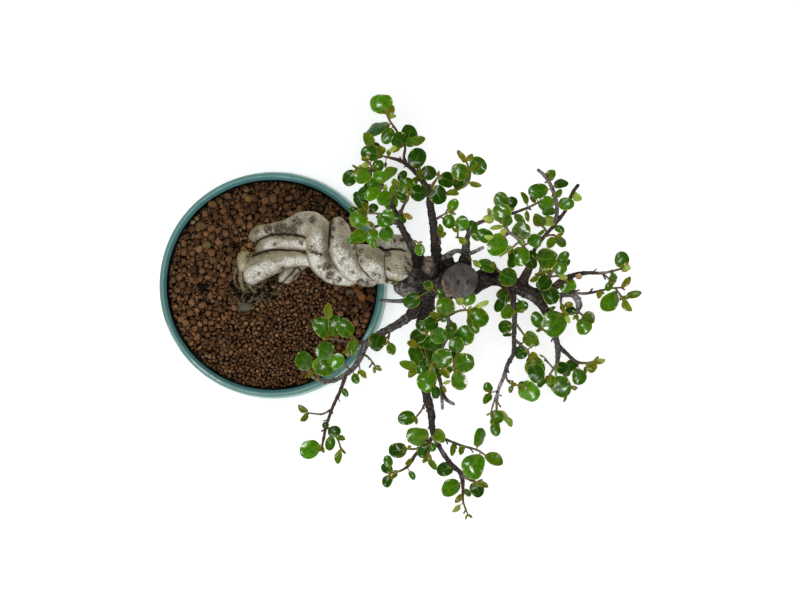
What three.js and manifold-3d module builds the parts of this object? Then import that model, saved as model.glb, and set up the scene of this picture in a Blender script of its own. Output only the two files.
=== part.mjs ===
// A wall cotoneaster trained as a leaning bonsai, in a round glazed pot.
// Millimetres, +Z up. The origin is on the standing surface, under the middle of the whole plant.

import * as THREE from 'three';
import Module from 'manifold-3d';

const wasm = await Module();
wasm.setup();

// Pot, in millimetres
const POT_HEIGHT = 58;
const RIM_OUTER_RADIUS = 58.4;
const RIM_INNER_RADIUS = 54.4;
const BELLY_RADIUS = 60.2;
const BELLY_HEIGHT = 38;
const FOOT_OUTER_RADIUS = 42;
const FOOT_INNER_RADIUS = 36;
const FOOT_HEIGHT = 5;
const FOOT_NOTCH_WIDTH = 16;
const FLOOR_TOP = 9.5;
const WALL_FACETS = 34;
const DRAIN_HOLE_RADIUS = 8;
const RIM_DROP = 1.6;
const NOTCH_DEPTH = 12;
const NOTCH_HEIGHT = 3.2;

// Upright section of the pot, [radius, height]: under the floor, up the outside, and down the inside
const POT_OUTLINE = [
  [DRAIN_HOLE_RADIUS, FOOT_HEIGHT],
  [FOOT_INNER_RADIUS, FOOT_HEIGHT],
  [FOOT_INNER_RADIUS, 0],
  [FOOT_OUTER_RADIUS, 0],
  [FOOT_OUTER_RADIUS + 1, FOOT_HEIGHT],
  [52.5, 12],
  [57.8, 22],
  [BELLY_RADIUS, BELLY_HEIGHT],
  [57.8, 53.5],
  [RIM_OUTER_RADIUS, POT_HEIGHT - RIM_DROP],
  [(RIM_OUTER_RADIUS + RIM_INNER_RADIUS) / 2, POT_HEIGHT],
  [RIM_INNER_RADIUS, POT_HEIGHT - RIM_DROP],
  [55, 50],
  [55.2, BELLY_HEIGHT],
  [50, 18],
  [44, FLOOR_TOP],
  [DRAIN_HOLE_RADIUS, FLOOR_TOP],
  [DRAIN_HOLE_RADIUS, FOOT_HEIGHT],
];

// Clearance between touching pieces, and the thickness of a leaf
const GAP = 0.3;
const LEAF_THICKNESS = 0.65;

// Soil and what lies under it
const SOIL_EDGE_HEIGHT = 53.2;
const SOIL_CROWN = 1.6;
const SOIL_RINGS = 9;
const SOIL_TOP_RADIUS = 53.85;
const GRANULE_RISE = 1.3;
const GRANULE_SHIFT = 0.3;
const MESH_SIZE = 26;
const MESH_THICKNESS = 1.2;
const MESH_BARS = 3;
const MESH_HOLE_SHARE = 0.7;

// The soil's side under its edge, [radius, height], a little inside the pot's wall
const SOIL_SIDE = [[53.4, 36], [48.6, 18.4], [42.8, FLOOR_TOP + GAP]];

// Sealed cut on top of the trunk
const CUT_RADIUS = 8.75;
const CUT_THICKNESS = 2.6;
const CUT_TOP = 128;
const CUT_FACETS = 16;
const CUT_PLAN = [460.4, 280.7];

// The plan is a top view, ruled in half millimetres from its upper left corner, as seen by an eye
// above it. A point higher or lower than the plan's level is moved along its line of sight.
const PLAN_STEP = 0.5;
const PLAN_MIDDLE = [400, 305.5];
const PLAN_LEVEL = 95;
const EYE_HEIGHT = 1200;
const EYE_FROM_POT = [66.3, -10.7];

const seededDraws = (seed) => () => {
  seed = (seed + 0x6d2b79f5) | 0;
  let mixed = Math.imul(seed ^ (seed >>> 15), 1 | seed);
  mixed = (mixed + Math.imul(mixed ^ (mixed >>> 7), 61 | mixed)) ^ mixed;
  return ((mixed ^ (mixed >>> 14)) >>> 0) / 4294967296;
};

// Plan position and height to millimetres about the pot's axis
function place([x, y, z]) {
  const spread = (EYE_HEIGHT - z) / (EYE_HEIGHT - PLAN_LEVEL);
  return new THREE.Vector3(
    EYE_FROM_POT[0] + (x - PLAN_MIDDLE[0]) * PLAN_STEP * spread,
    EYE_FROM_POT[1] - (y - PLAN_MIDDLE[1]) * PLAN_STEP * spread,
    z,
  );
}

// Solids: a closed shape is a list of points and a list of triangles

function solid(points, triangles) {
  const vertProperties = new Float32Array(points.flatMap((p) => [p.x, p.y, p.z]));
  const triVerts = new Uint32Array(triangles.flat());
  return new wasm.Manifold(new wasm.Mesh({ numProp: 3, vertProperties, triVerts }));
}

function solidFromGeometry(geometry) {
  const { position } = geometry.attributes;
  const points = [];
  const seen = new Map();
  const merged = Array.from({ length: position.count }, (_, i) => {
    const point = new THREE.Vector3().fromBufferAttribute(position, i);
    const key = point.toArray().map((v) => Math.round(v * 1e4)).join();
    if (!seen.has(key)) {
      seen.set(key, points.length);
      points.push(point);
    }
    return seen.get(key);
  });
  const corners = geometry.index ? Array.from(geometry.index.array, (i) => merged[i]) : merged;
  const triangles = [];
  for (let i = 0; i < corners.length; i += 3) {
    const [a, b, c] = corners.slice(i, i + 3);
    if (a !== b && b !== c && c !== a) triangles.push([a, b, c]);
  }
  return solid(points, triangles);
}

const joinAll = (solids) => solids.reduce((sum, next) => sum.add(next));

function largestPiece(shape) {
  return shape.decompose().reduce((best, next) => (next.volume() > best.volume() ? next : best));
}

// Straight blend along an evenly spaced list of values
function alongList(values, t) {
  const at = Math.min(t, 0.999999) * (values.length - 1);
  const low = Math.floor(at);
  return THREE.MathUtils.lerp(values[low], values[low + 1] ?? values[low], at - low);
}

// Smooth curve through the points of a route, with the number of straight steps that a tube makes
// of it: the same number between any two of its points
function pathOf(route, step) {
  const curve = new THREE.CatmullRomCurve3(route.map(place), false, 'centripetal');
  const spans = route.length - 1;
  return { curve, steps: spans * Math.max(1, Math.round(curve.getLength() / step / spans)) };
}

// A branch or strand: a tapering many-sided tube along a smooth curve, with flat ends
function limb(route, radii, { sides = 6, step = 6, knobs = 0, seed = 1, grow = 0 } = {}) {
  const { curve, steps } = pathOf(route, step);
  const draw = seededDraws(seed);
  const points = [];
  const triangles = [];
  let across = null;
  for (let i = 0; i <= steps; i += 1) {
    const t = i / steps;
    const centre = curve.getPoint(t);
    const forward = curve.getTangent(t);
    across = across ?? new THREE.Vector3(0, 0, 1).cross(forward);
    if (across.lengthSq() < 1e-6) across.set(1, 0, 0);
    across.addScaledVector(forward, -across.dot(forward)).normalize();
    const other = forward.clone().cross(across);
    for (let j = 0; j < sides; j += 1) {
      const angle = (2 * Math.PI * j) / sides;
      const radius = alongList(radii, t) * (1 + knobs * (draw() - 0.5)) + grow;
      points.push(
        centre.clone()
          .addScaledVector(across, radius * Math.cos(angle))
          .addScaledVector(other, radius * Math.sin(angle)),
      );
      if (i < steps) {
        const a = i * sides + j;
        const b = i * sides + ((j + 1) % sides);
        triangles.push([a, b, b + sides], [a, b + sides, a + sides]);
      }
    }
  }
  const last = steps * sides;
  for (let j = 1; j < sides - 1; j += 1) {
    triangles.push([0, j + 1, j], [last, last + j, last + j + 1]);
  }
  return solid(points, triangles);
}

// Leaves

// How high the middle of a leaf stands over its twig, as a share of its distance from it, which
// counts as no less than LEAST_DISTANCE
const LEAST_DISTANCE = 3;
const LIFTS = { bright: 0.45, green: 0.25, dark: -0.1, olive: 0.4, pale: 0.5 };

// Half breadth of a blade, as a share of its width, at shares of its length from the foot
const LARGE_OUTLINE = [[0.4, 0.48], [0.8, 0.4]];
const SMALL_OUTLINE = [[0.52, 0.5]];
const SMALL_LENGTH = 12;

// Petioles: the shortest, the least that has a row of its own, and half their breadth
const LEAST_PETIOLE = 0.8;
const LONG_PETIOLE = 2.2;
const PETIOLE_BREADTH = 0.5;

// A blade's middle rises and its tip drops, as shares of its width and length
const MIDDLE_RISE = 0.1;
const ARCH_DROP = 0.06;
const TIP_DROP = 0.1;

// Broad leaves are seen turned about their midribs by as much as makes them look narrow. Narrow
// ones are turned a little.
const BROAD_SHAPE = 0.75;
const FULL_SHAPE = 0.92;
const SEEN_SHARE = 0.815;
const LEAST_SHAPE = 0.45;
const NARROW_ROLL = 0.35;
const HEADING_WEIGHT = 0.9;
const TILT_JITTER = 1.6;

// Straight steps of a twig's tube, and how closely leaves may follow each other along it
const TWIG_STEP = 11;
const FOOT_SPACING = 1.2;

// Where the leaf grows from: the twig point about two thirds of a leaf from the blade's middle,
// on the side that its heading asks for
function footOf(leaf, twigPoints) {
  const middle = place([leaf.x, leaf.y, twigPoints[0].z]);
  const length = leaf.length * PLAN_STEP;
  const turn = THREE.MathUtils.degToRad(leaf.heading ?? 0);
  let best = null;
  for (const point of twigPoints) {
    const dx = middle.x - point.x;
    const dy = middle.y - point.y;
    const distance = Math.hypot(dx, dy);
    const short = Math.max(0, 0.5 * length - distance);
    const far = Math.max(0, distance - 0.6 * length);
    let score = far + 3 * short;
    if (leaf.heading !== undefined && distance > 0.1) {
      const along = (dx * Math.cos(turn) + dy * Math.sin(turn)) / distance;
      score += HEADING_WEIGHT * length * (1 - along);
    }
    if (!best || score < best.score) best = { score, point, distance };
  }
  return best;
}

// A leaf: a petiole that widens into a cupped blade with a pointed end, the same on both faces
function leafSolid(leaf, twigPoints, grow) {
  const { point, distance } = footOf(leaf, twigPoints);
  const lift = LIFTS[leaf.kind] * Math.max(distance, LEAST_DISTANCE) + leaf.jitter;
  const middle = place([leaf.x, leaf.y, point.z + lift]);
  const forward = middle.clone().sub(point);
  const reach = forward.length();
  forward.normalize();
  const length = leaf.length * PLAN_STEP;
  const narrow = leaf.kind === 'olive' || leaf.kind === 'pale';
  const broadWidth = Math.max(leaf.width, BROAD_SHAPE * leaf.length);
  const width = (narrow ? leaf.width : broadWidth) * PLAN_STEP;
  const shown = leaf.width / (FULL_SHAPE * leaf.length) / SEEN_SHARE;
  const broadRoll = Math.acos(THREE.MathUtils.clamp(shown, LEAST_SHAPE, 1));
  const roll = narrow ? NARROW_ROLL : broadRoll;
  const side = new THREE.Vector3(0, 0, 1).cross(forward).normalize();
  side.applyAxisAngle(forward, roll * leaf.side);
  const up = forward.clone().cross(side);
  const start = Math.max(reach - length / 2, LEAST_PETIOLE);
  const end = reach + length / 2 + grow;
  const half = LEAF_THICKNESS / 2 + grow;
  const rows = start > LONG_PETIOLE ? [[start, PETIOLE_BREADTH + grow, 0]] : [];
  for (const [share, breadth] of leaf.length < SMALL_LENGTH ? SMALL_OUTLINE : LARGE_OUTLINE) {
    rows.push([start + share * (end - start), breadth * width + grow, share]);
  }
  const at = (along, across, rise) => point.clone()
    .addScaledVector(forward, along)
    .addScaledVector(side, across)
    .addScaledVector(up, rise);
  // The foot is one point inside the twig. Each row is four points: left and right on the upper
  // face, then left and right on the lower one. The tip is two points.
  const points = [at(-grow, 0, 0)];
  for (const [along, across, share] of rows) {
    const rise = MIDDLE_RISE * width * (share ? 1 : 0) - ARCH_DROP * length * share * share;
    for (const face of [half, -half]) {
      points.push(at(along, across, rise + face), at(along, -across, rise + face));
    }
  }
  for (const face of [half, -half]) points.push(at(end, 0, face - TIP_DROP * length));
  const triangles = [[0, 2, 1], [0, 3, 4], [0, 1, 3], [0, 4, 2]];
  for (let i = 1; i + 7 < points.length - 2; i += 4) {
    triangles.push([i, i + 1, i + 4], [i + 1, i + 5, i + 4]);
    triangles.push([i + 2, i + 6, i + 3], [i + 3, i + 6, i + 7]);
    triangles.push([i, i + 4, i + 2], [i + 2, i + 4, i + 6]);
    triangles.push([i + 1, i + 3, i + 5], [i + 3, i + 7, i + 5]);
  }
  const tip = points.length - 2;
  const last = tip - 4;
  triangles.push([last, last + 1, tip], [last + 2, tip + 1, last + 3]);
  triangles.push([last, tip, last + 2], [last + 2, tip, tip + 1]);
  triangles.push([last + 1, last + 3, tip], [last + 3, tip + 1, tip]);
  return solid(points, triangles);
}

// Each row of a branch's leaves is [x, y, length, width, kind, heading]: plan position of the
// blade's middle, its size in half millimetres, and where needed the compass angle of its tip,
// anticlockwise from the right
function readLeaves(rows, draw) {
  return rows.map(([x, y, length, width, kind = 'green', heading]) => ({
    x,
    y,
    length,
    width,
    kind,
    heading,
    jitter: TILT_JITTER * (draw() - 0.5),
    side: draw() < 0.5 ? 1 : -1,
  }));
}

// One leafy branch: its twigs and all leaves that grow from them, as one solid
function branchSolid({ twigs, leaves, seed }, grow = 0) {
  const draw = seededDraws(seed);
  const wood = [];
  const twigPoints = [];
  for (const { route, radii, sides = 3 } of twigs) {
    wood.push(limb(route, radii, { sides, step: TWIG_STEP, grow }));
    const { curve, steps } = pathOf(route, TWIG_STEP);
    const joints = curve.getPoints(steps);
    for (let i = 0; i < steps; i += 1) {
      const count = Math.ceil(joints[i].distanceTo(joints[i + 1]) / FOOT_SPACING);
      for (let k = 1; k <= count; k += 1) {
        twigPoints.push(joints[i].clone().lerp(joints[i + 1], (k - 0.3) / count));
      }
    }
  }
  const blades = readLeaves(leaves, draw).map((leaf) => leafSolid(leaf, twigPoints, grow));
  return joinAll([...wood, ...blades]);
}

// Trunk: pale strands and roots wound about each other, then dark bark, limb and stubs

const STRANDS = [
  { route: [[250, 287, 38], [250, 281, 48], [253, 273, 54], [265, 265.5, 60], [279, 260.5, 67],
    [292, 258.5, 74], [307, 258.7, 79], [320, 261, 82]],
    radii: [5, 5.8, 6.6, 6.4, 5.6, 4.7, 4, 3.6] },
  { route: [[243, 250, 40], [241.5, 254, 50], [240.5, 262, 55], [242, 270, 56], [247, 277, 54]],
    radii: [3, 3.5, 3.6, 3.6, 3.4], sides: 6 },
  { route: [[255, 256, 38], [256.5, 251.5, 50], [260, 247.5, 58], [267, 243.5, 65], [279, 241, 71],
    [292, 241.5, 77], [306, 243, 82]], radii: [2.4, 2.8, 3.3, 3.9, 3.9, 3.9, 3.8] },
  { route: [[244, 240, 38], [248, 236, 50], [254, 233, 58], [262, 231, 64], [273, 228.5, 69],
    [284, 227, 74], [294, 224.5, 79]], radii: [3.2, 3.6, 3.8, 3.3, 2.7, 3.2, 4.2] },
  { route: [[285, 229, 70], [292, 226.5, 75], [301, 224, 81], [310, 224.5, 86], [317, 230, 90],
    [318.5, 240, 92], [318, 251, 92], [321.5, 263, 90], [331, 274, 88], [346, 281, 88],
    [364, 284, 91]], radii: [3.2, 4.2, 5.6, 6.6, 6.9, 6.3, 5.4, 5.8, 6, 5.2, 4.4] },
  { route: [[335, 217, 84], [339, 223, 90], [341.5, 232, 95], [342.5, 243, 98], [345.5, 254, 99],
    [350.5, 265, 98], [358, 275, 97], [369, 281, 96], [384, 283, 98]],
    radii: [2.6, 3.9, 5, 6, 6.7, 6.6, 6, 5.2, 4.6] },
  { route: [[354, 243, 90], [361, 246, 96], [368, 252.5, 101], [372.5, 262, 103], [376, 273, 102],
    [383, 281, 99]], radii: [3.6, 5.2, 6.6, 6.1, 5.3, 4.4] },
  { route: [[378, 263, 99], [386, 260, 103], [396, 262.5, 106], [405, 267, 107], [413, 273, 105]],
    radii: [5, 6.6, 7.8, 7.4, 5.8] },
  { route: [[372, 246, 94], [388, 241, 98], [404, 243, 100], [416, 252, 101]],
    radii: [3, 3.6, 3.8, 3.6], sides: 5 },
  { route: [[294, 250, 72], [318, 252, 78], [345, 260, 87], [370, 268, 94], [392, 270, 99],
    [414, 273, 104]], radii: [5, 7, 7.4, 8, 8.6, 7.5], sides: 6 },
  { route: [[277, 286, 44], [281, 281, 54], [287, 274, 60], [295, 265, 70]],
    radii: [4.2, 4, 3.4, 3.4], sides: 6 },
  { route: [[262, 300, 46], [257, 293, 52], [252, 285, 54]], radii: [2, 2.2, 2.8], sides: 5 },
  { route: [[246, 297, 46], [247, 290, 52], [248, 283, 54]], radii: [1.9, 2.1, 2.6], sides: 5 },
];

const BARK = [
  { route: [[402, 272, 100], [418, 276, 107], [432, 277, 111], [447, 279, 114]],
    radii: [7, 8.6, 9, 9], sides: 9 },
  { route: [[438, 281, 104], [452, 281, 112], [460.4, 280.7, 118], [460.4, 280.7, 125]],
    radii: [7.5, 8.6, 8.6, 8.4], sides: 12 },
  { route: [[389, 289, 97], [402, 287, 101], [416, 286, 105], [430, 287, 107]],
    radii: [2.6, 4.4, 5.4, 5] },
  { route: [[430, 268, 110], [428, 263, 118], [427, 256, 121]], radii: [4.6, 3.8, 2.4] },
  { route: [[428, 272, 114], [431, 275, 120], [431, 280, 121]], radii: [3.6, 3, 2.2] },
  { route: [[445, 268, 108], [448, 262, 114], [449, 254, 116]], radii: [4, 3.2, 2] },
  { route: [[446, 292, 108], [450, 297, 112]], radii: [4.6, 2.6] },
  { route: [[456, 284, 103], [470, 285, 107], [490, 277, 109], [505, 281, 110], [518, 287, 110],
    [533, 295, 109], [541, 304, 108], [547, 314, 107]],
    radii: [5.5, 5, 4.2, 3.7, 3.6, 3.3, 2.4, 2], sides: 7 },
  { route: [[478, 281, 109], [486, 276, 113], [492, 273, 116]], radii: [3.8, 3.8, 3.6], sides: 7 },
  { route: [[521, 288, 109], [524, 279, 112], [529, 269, 115], [533, 258, 118]],
    radii: [2.8, 2.5, 1.8, 1.5] },
  { route: [[424, 292, 106], [426, 304, 104], [422, 318, 101]], radii: [5, 4.2, 2.9], sides: 7 },
  { route: [[426, 292, 105], [419, 306, 103], [408, 318, 100]], radii: [4.6, 4, 3], sides: 7 },
  { route: [[424, 270, 108], [419, 260, 114], [414, 251, 118.5]], radii: [4, 3.2, 2.5] },
  { route: [[437, 268, 108], [437, 260, 110.5], [436, 252, 112]], radii: [4.4, 3.4, 3] },
  { route: [[464, 276, 110], [465, 264, 115], [465.5, 254, 118]], radii: [4, 3.2, 2.6] },
  { route: [[528, 293, 109], [549, 290, 110], [560, 283, 110.5], [572, 275, 111]],
    radii: [2, 2.1, 1.8, 1.6], sides: 5 },
  { route: [[443, 262, 111], [446, 257, 116], [456, 251, 118], [470, 253, 118], [484, 247, 118]],
    radii: [1.6, 1.4, 1.2, 1, 0.8], sides: 5 },
  { route: [[411, 300, 102], [402, 301, 102], [392, 301, 101], [379, 300, 101]],
    radii: [1.6, 1.1, 0.9, 0.7], sides: 4 },
];

const STRAND_TUBE = { step: 11, knobs: 0.06 };
const BARK_TUBE = { step: 12, knobs: 0.16 };
const STRAND_SEED = 11;
const BARK_SEED = 71;

function trunkSolid(grow = 0) {
  const strands = STRANDS.map(({ route, radii, sides = 7 }, i) => (
    limb(route, radii, { ...STRAND_TUBE, sides, seed: STRAND_SEED + i, grow })
  ));
  const bark = BARK.map(({ route, radii, sides = 5 }, i) => (
    limb(route, radii, { ...BARK_TUBE, sides, seed: BARK_SEED + i, grow })
  ));
  return largestPiece(joinAll([...strands, ...bark]));
}

// Leafy branches. The first twig of each starts in the trunk's bark

const BRANCHES = {
  branch_upper_left: {
    seed: 201,
    twigs: [
      { route: [[415, 252, 118], [410, 242, 121], [404, 232, 124], [399, 221, 126], [393, 207, 129],
        [388, 197, 131], [382, 184, 132], [374, 170, 133], [367, 160, 134]],
        radii: [2.4, 2.2, 1.9, 1.8, 1.5, 1.3, 1.1, 0.9, 0.8], sides: 5 },
      { route: [[391, 203, 129], [394, 196, 133], [396, 186, 137]], radii: [1.1, 0.9, 0.8] },
      { route: [[399, 219, 126], [403, 207, 131], [408, 198, 134], [409, 190, 137]],
        radii: [1.3, 1.1, 1, 0.8] },
      { route: [[396, 216, 127], [382, 214, 127], [367, 213, 128]], radii: [1.1, 0.9, 0.8] },
      { route: [[401, 225, 125], [388, 222, 125], [376, 227, 125], [371, 231, 126]],
        radii: [1.2, 1, 0.9, 0.8] },
      { route: [[376, 173, 133], [366, 167, 134], [357, 169, 136]], radii: [0.9, 0.8, 0.7] },
      { route: [[410, 242, 121], [415, 241, 123.5], [418, 243, 125]], radii: [1, 0.8, 0.6] },
    ],
    leaves: [
      [350, 178.6, 15, 14, 'dark', 190], [363, 174.6, 18, 17, 'bright'], [378, 165, 11, 11],
      [379.7, 178, 15, 15, 'bright', 100], [391, 174, 16, 11, 'olive', 75],
      [402.8, 175.6, 10, 8, 'dark'], [394.7, 182.7, 10, 6, 'olive'],
      [372.7, 194.4, 16, 12, 'bright'], [363.9, 193, 12, 12, 'dark'],
      [384.4, 198.8, 14, 14, 'bright', 225], [390.3, 201.7, 16, 14], [396, 191.5, 14, 12],
      [407, 187, 18, 16, 'green', 80], [408, 189, 12, 7, 'olive', 80],
      [418, 191.5, 18, 16, 'dark', 10], [359.5, 203, 16, 12, 'dark'], [372.7, 208.4, 10, 9, 'dark'],
      [358, 219.4, 17, 17, 'bright', 120], [390.3, 216.4, 17, 15, 'bright'],
      [400.6, 218.6, 13, 12, 'dark'], [408.6, 216.4, 8, 6, 'olive'],
      [358, 236, 15, 14, 'bright', 200], [372.7, 237, 15, 12, 'bright', 260],
      [386.6, 234, 15, 14, 'bright'], [419.6, 250, 11, 10, 'bright', 270],
    ],
  },
  branch_top: {
    seed: 202,
    twigs: [
      { route: [[436.5, 256, 111.5], [435.5, 244, 113.5], [434, 230, 114.5], [431, 210, 117],
        [427.5, 190, 119], [416, 173, 121], [403, 162, 123], [391, 158, 125], [382, 156, 127]],
        radii: [2.9, 2.6, 2.3, 2.1, 1.9, 1.6, 1.4, 1.1, 0.8], sides: 5 },
      { route: [[409, 167, 122], [404, 158, 124], [405, 147, 127], [398, 133, 129], [390, 121, 131],
        [386, 113, 133]], radii: [1.3, 1.1, 1, 0.9, 0.8, 0.7] },
      { route: [[424, 183, 119.5], [419, 175, 123], [420, 170, 125]], radii: [1, 0.8, 0.7] },
      { route: [[428, 191, 119], [438, 177, 121.5]], radii: [1.3, 0.8] },
      { route: [[430, 204, 117.5], [440, 196, 119], [452, 191, 120], [467, 184, 121.5],
        [470, 172, 124], [466, 161, 126]], radii: [1.3, 1.1, 1.1, 1, 0.9, 0.7] },
      { route: [[434, 221, 115.5], [441, 216, 116.5], [449, 212, 118]], radii: [1.1, 0.9, 0.7] },
      { route: [[436, 246, 113], [440, 242, 116], [440, 236, 119]], radii: [0.9, 0.8, 0.7] },
    ],
    leaves: [
      [381, 106, 23, 22, 'bright', 120], [389.6, 111.5, 14, 8, 'olive', 75],
      [376.6, 128.7, 24, 12, 'green', 175], [368.6, 138.7, 14, 11, 'olive'],
      [387.4, 136.5, 15, 12, 'dark', 240], [406.4, 134.3, 21, 16, 'dark', 100],
      [398.4, 140.9, 16, 16, 'bright', 160], [418.5, 140, 13, 10, 'olive', 10],
      [369.8, 153.3, 17, 15, 'green', 170], [380.8, 152, 12, 10, 'olive', 100],
      [396, 149.7, 8, 6, 'olive'], [417.4, 157.7, 20, 17, 'green', 80],
      [419.6, 175.3, 12, 10, 'olive', 100], [428.4, 172.7, 15, 14, 'dark'],
      [438, 195, 18, 17, 'dark', 290], [446, 181, 16, 15, 'dark'],
      [460.7, 171, 18, 16, 'green', 150], [460.7, 181, 18, 13, 'dark', 200],
      [476.8, 167, 19, 18, 'green', 20], [477, 167, 11, 7, 'olive', 70],
      [460.7, 154.8, 11, 6, 'olive', 110], [469.5, 157.7, 9, 6, 'olive', 60],
      [476, 184.4, 11, 6, 'olive', 0], [452.6, 193.7, 13, 7, 'olive', 340],
      [453.4, 204.7, 12, 10, 'bright', 70], [449.7, 221.6, 13, 12, 'green', 290],
      [440, 229.6, 11, 6, 'olive', 110], [443, 234.8, 8, 6, 'olive', 0],
    ],
  },
  branch_middle: {
    seed: 203,
    twigs: [
      { route: [[465.5, 257, 117], [466, 244, 120.5], [468, 236, 122], [474, 226, 123.5],
        [486, 220, 124], [510, 214, 124.5], [527, 208, 124], [541, 201, 124]],
        radii: [2.4, 2.1, 1.7, 1.4, 1.3, 1.2, 1, 0.8], sides: 5 },
      { route: [[499, 217, 124], [505, 212, 128], [508, 209, 130]], radii: [1, 0.9, 0.8] },
      { route: [[466, 241, 121], [458, 237, 123], [458, 232, 125]], radii: [0.9, 0.8, 0.7] },
    ],
    leaves: [
      [462, 223, 14, 13, 'green', 100], [471.7, 227.4, 13, 12, 'dark', 70],
      [476, 234.5, 13, 10, 'green', 320], [488.8, 218, 12, 9, 'pale', 150],
      [502, 200.5, 17, 15, 'green', 110], [511.5, 203.5, 13, 11, 'dark', 30],
      [524, 197.6, 12, 6, 'olive', 110], [520.4, 220, 14, 8, 'olive', 340],
      [534, 194, 9, 6, 'olive'], [463, 240, 9, 7, 'olive'],
    ],
  },
  branch_upper_right: {
    seed: 204,
    twigs: [
      { route: [[532, 262, 117], [534, 251, 119], [543, 238, 120], [556, 223, 121],
        [565, 211, 121.5], [573, 192, 122.5], [580, 184, 123.5]],
        radii: [1.4, 1.4, 1.3, 1.2, 1.1, 0.9, 0.9], sides: 5 },
      { route: [[554, 225, 121], [557, 212, 124], [555, 197, 127], [549, 182, 130], [544, 175, 132],
        [537, 169, 133]], radii: [1.2, 1.3, 1.1, 1, 0.9, 0.7] },
      { route: [[547, 232, 120.5], [543, 226, 123], [540, 224, 125]], radii: [0.9, 0.8, 0.7] },
      { route: [[533, 256, 118], [540, 262, 120], [545, 268, 121]], radii: [1, 0.9, 0.8] },
      { route: [[544, 237, 120.5], [551, 235, 122], [557, 236, 123]], radii: [0.9, 0.8, 0.7] },
    ],
    leaves: [
      [537.8, 190.4, 18, 14, 'green', 160], [546.4, 203.7, 15, 15, 'bright', 170],
      [551.6, 175, 11, 10, 'olive', 60], [561.9, 183.9, 13, 9, 'dark', 20],
      [558.6, 193, 9, 7, 'olive', 80], [566.8, 203.9, 14, 12, 'green', 0],
      [578, 196.9, 9, 8, 'olive', 320], [538.8, 219.5, 14, 12, 'olive', 110],
      [549, 221.5, 14, 11, 'pale', 150], [559.7, 230, 9, 7, 'green', 10],
      [560.3, 240.8, 14, 9, 'green', 270], [551, 243.5, 11, 9, 'olive', 210],
      [547.5, 257.7, 21, 21, 'bright', 340],
    ],
  },
  branch_near: {
    seed: 205,
    twigs: [
      { route: [[529, 268, 115], [527, 259, 123], [524, 248, 130.5], [518, 239, 135],
        [509, 233, 137], [500, 236, 138], [494, 241, 138.5]],
        radii: [1.2, 1.2, 1.3, 1.3, 1.2, 1, 0.8], sides: 5 },
      { route: [[510, 234, 137], [506, 227, 138], [503, 223, 138.5]], radii: [1, 0.9, 0.7] },
      { route: [[520, 241, 134], [514, 246, 134], [511, 249, 134]], radii: [0.9, 0.8, 0.7] },
      { route: [[524, 245, 131.5], [530, 243, 133]], radii: [0.9, 0.7] },
    ],
    leaves: [
      [501, 214, 19, 18, 'bright', 105], [521.4, 230.2, 18, 18, 'bright', 60],
      [533.7, 240.4, 16, 14, 'bright', 15], [531, 262, 14, 12, 'dark', 300],
      [484.7, 235.3, 15, 13, 'green', 150], [497, 245, 22, 19, 'bright', 260],
      [506, 251.6, 16, 6, 'pale', 240], [520.4, 256.7, 18, 17, 'bright', 290],
      [512, 259, 17, 11, 'dark', 260], [489, 237, 9, 5, 'olive', 170],
      [503, 233, 11, 6, 'olive', 60],
    ],
  },
  branch_right_inner: {
    seed: 206,
    twigs: [
      { route: [[546, 291, 110], [547, 284, 112.5], [549, 277, 113.5], [554, 269, 114.5],
        [558, 264, 115.5]], radii: [1.5, 1.4, 1.2, 1, 0.8], sides: 5 },
      { route: [[549, 277, 113], [557, 276, 113], [563, 278, 113]], radii: [0.9, 0.8, 0.7] },
      { route: [[547, 280, 112.5], [540, 275, 114]], radii: [0.9, 0.7] },
    ],
    leaves: [
      [564, 257, 12, 9, 'green', 50], [559.5, 269, 15, 13, 'bright', 340],
      [543, 270, 12, 7, 'olive', 120], [563, 277, 9, 6, 'olive', 10],
      [543.9, 282.3, 17, 14, 'dark', 230], [550.3, 296, 17, 16, 'bright', 280],
      [534, 279, 9, 6, 'olive', 190],
    ],
  },
  branch_far_right: {
    seed: 207,
    twigs: [
      { route: [[568, 277, 110.5], [579, 274, 111], [590, 272.8, 111], [603, 273, 111],
        [620, 269, 112], [623, 268, 113]], radii: [1.5, 1.6, 1.3, 1.1, 0.8, 0.7], sides: 5 },
      { route: [[601, 273, 111], [607, 277, 110.5], [611, 282, 110]], radii: [0.9, 0.8, 0.7] },
      { route: [[572, 276, 110], [571, 284, 108], [575, 292, 107], [585, 293.5, 106.5],
        [599, 291, 106.5], [610, 288.5, 106.5], [622, 287.5, 107]],
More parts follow.
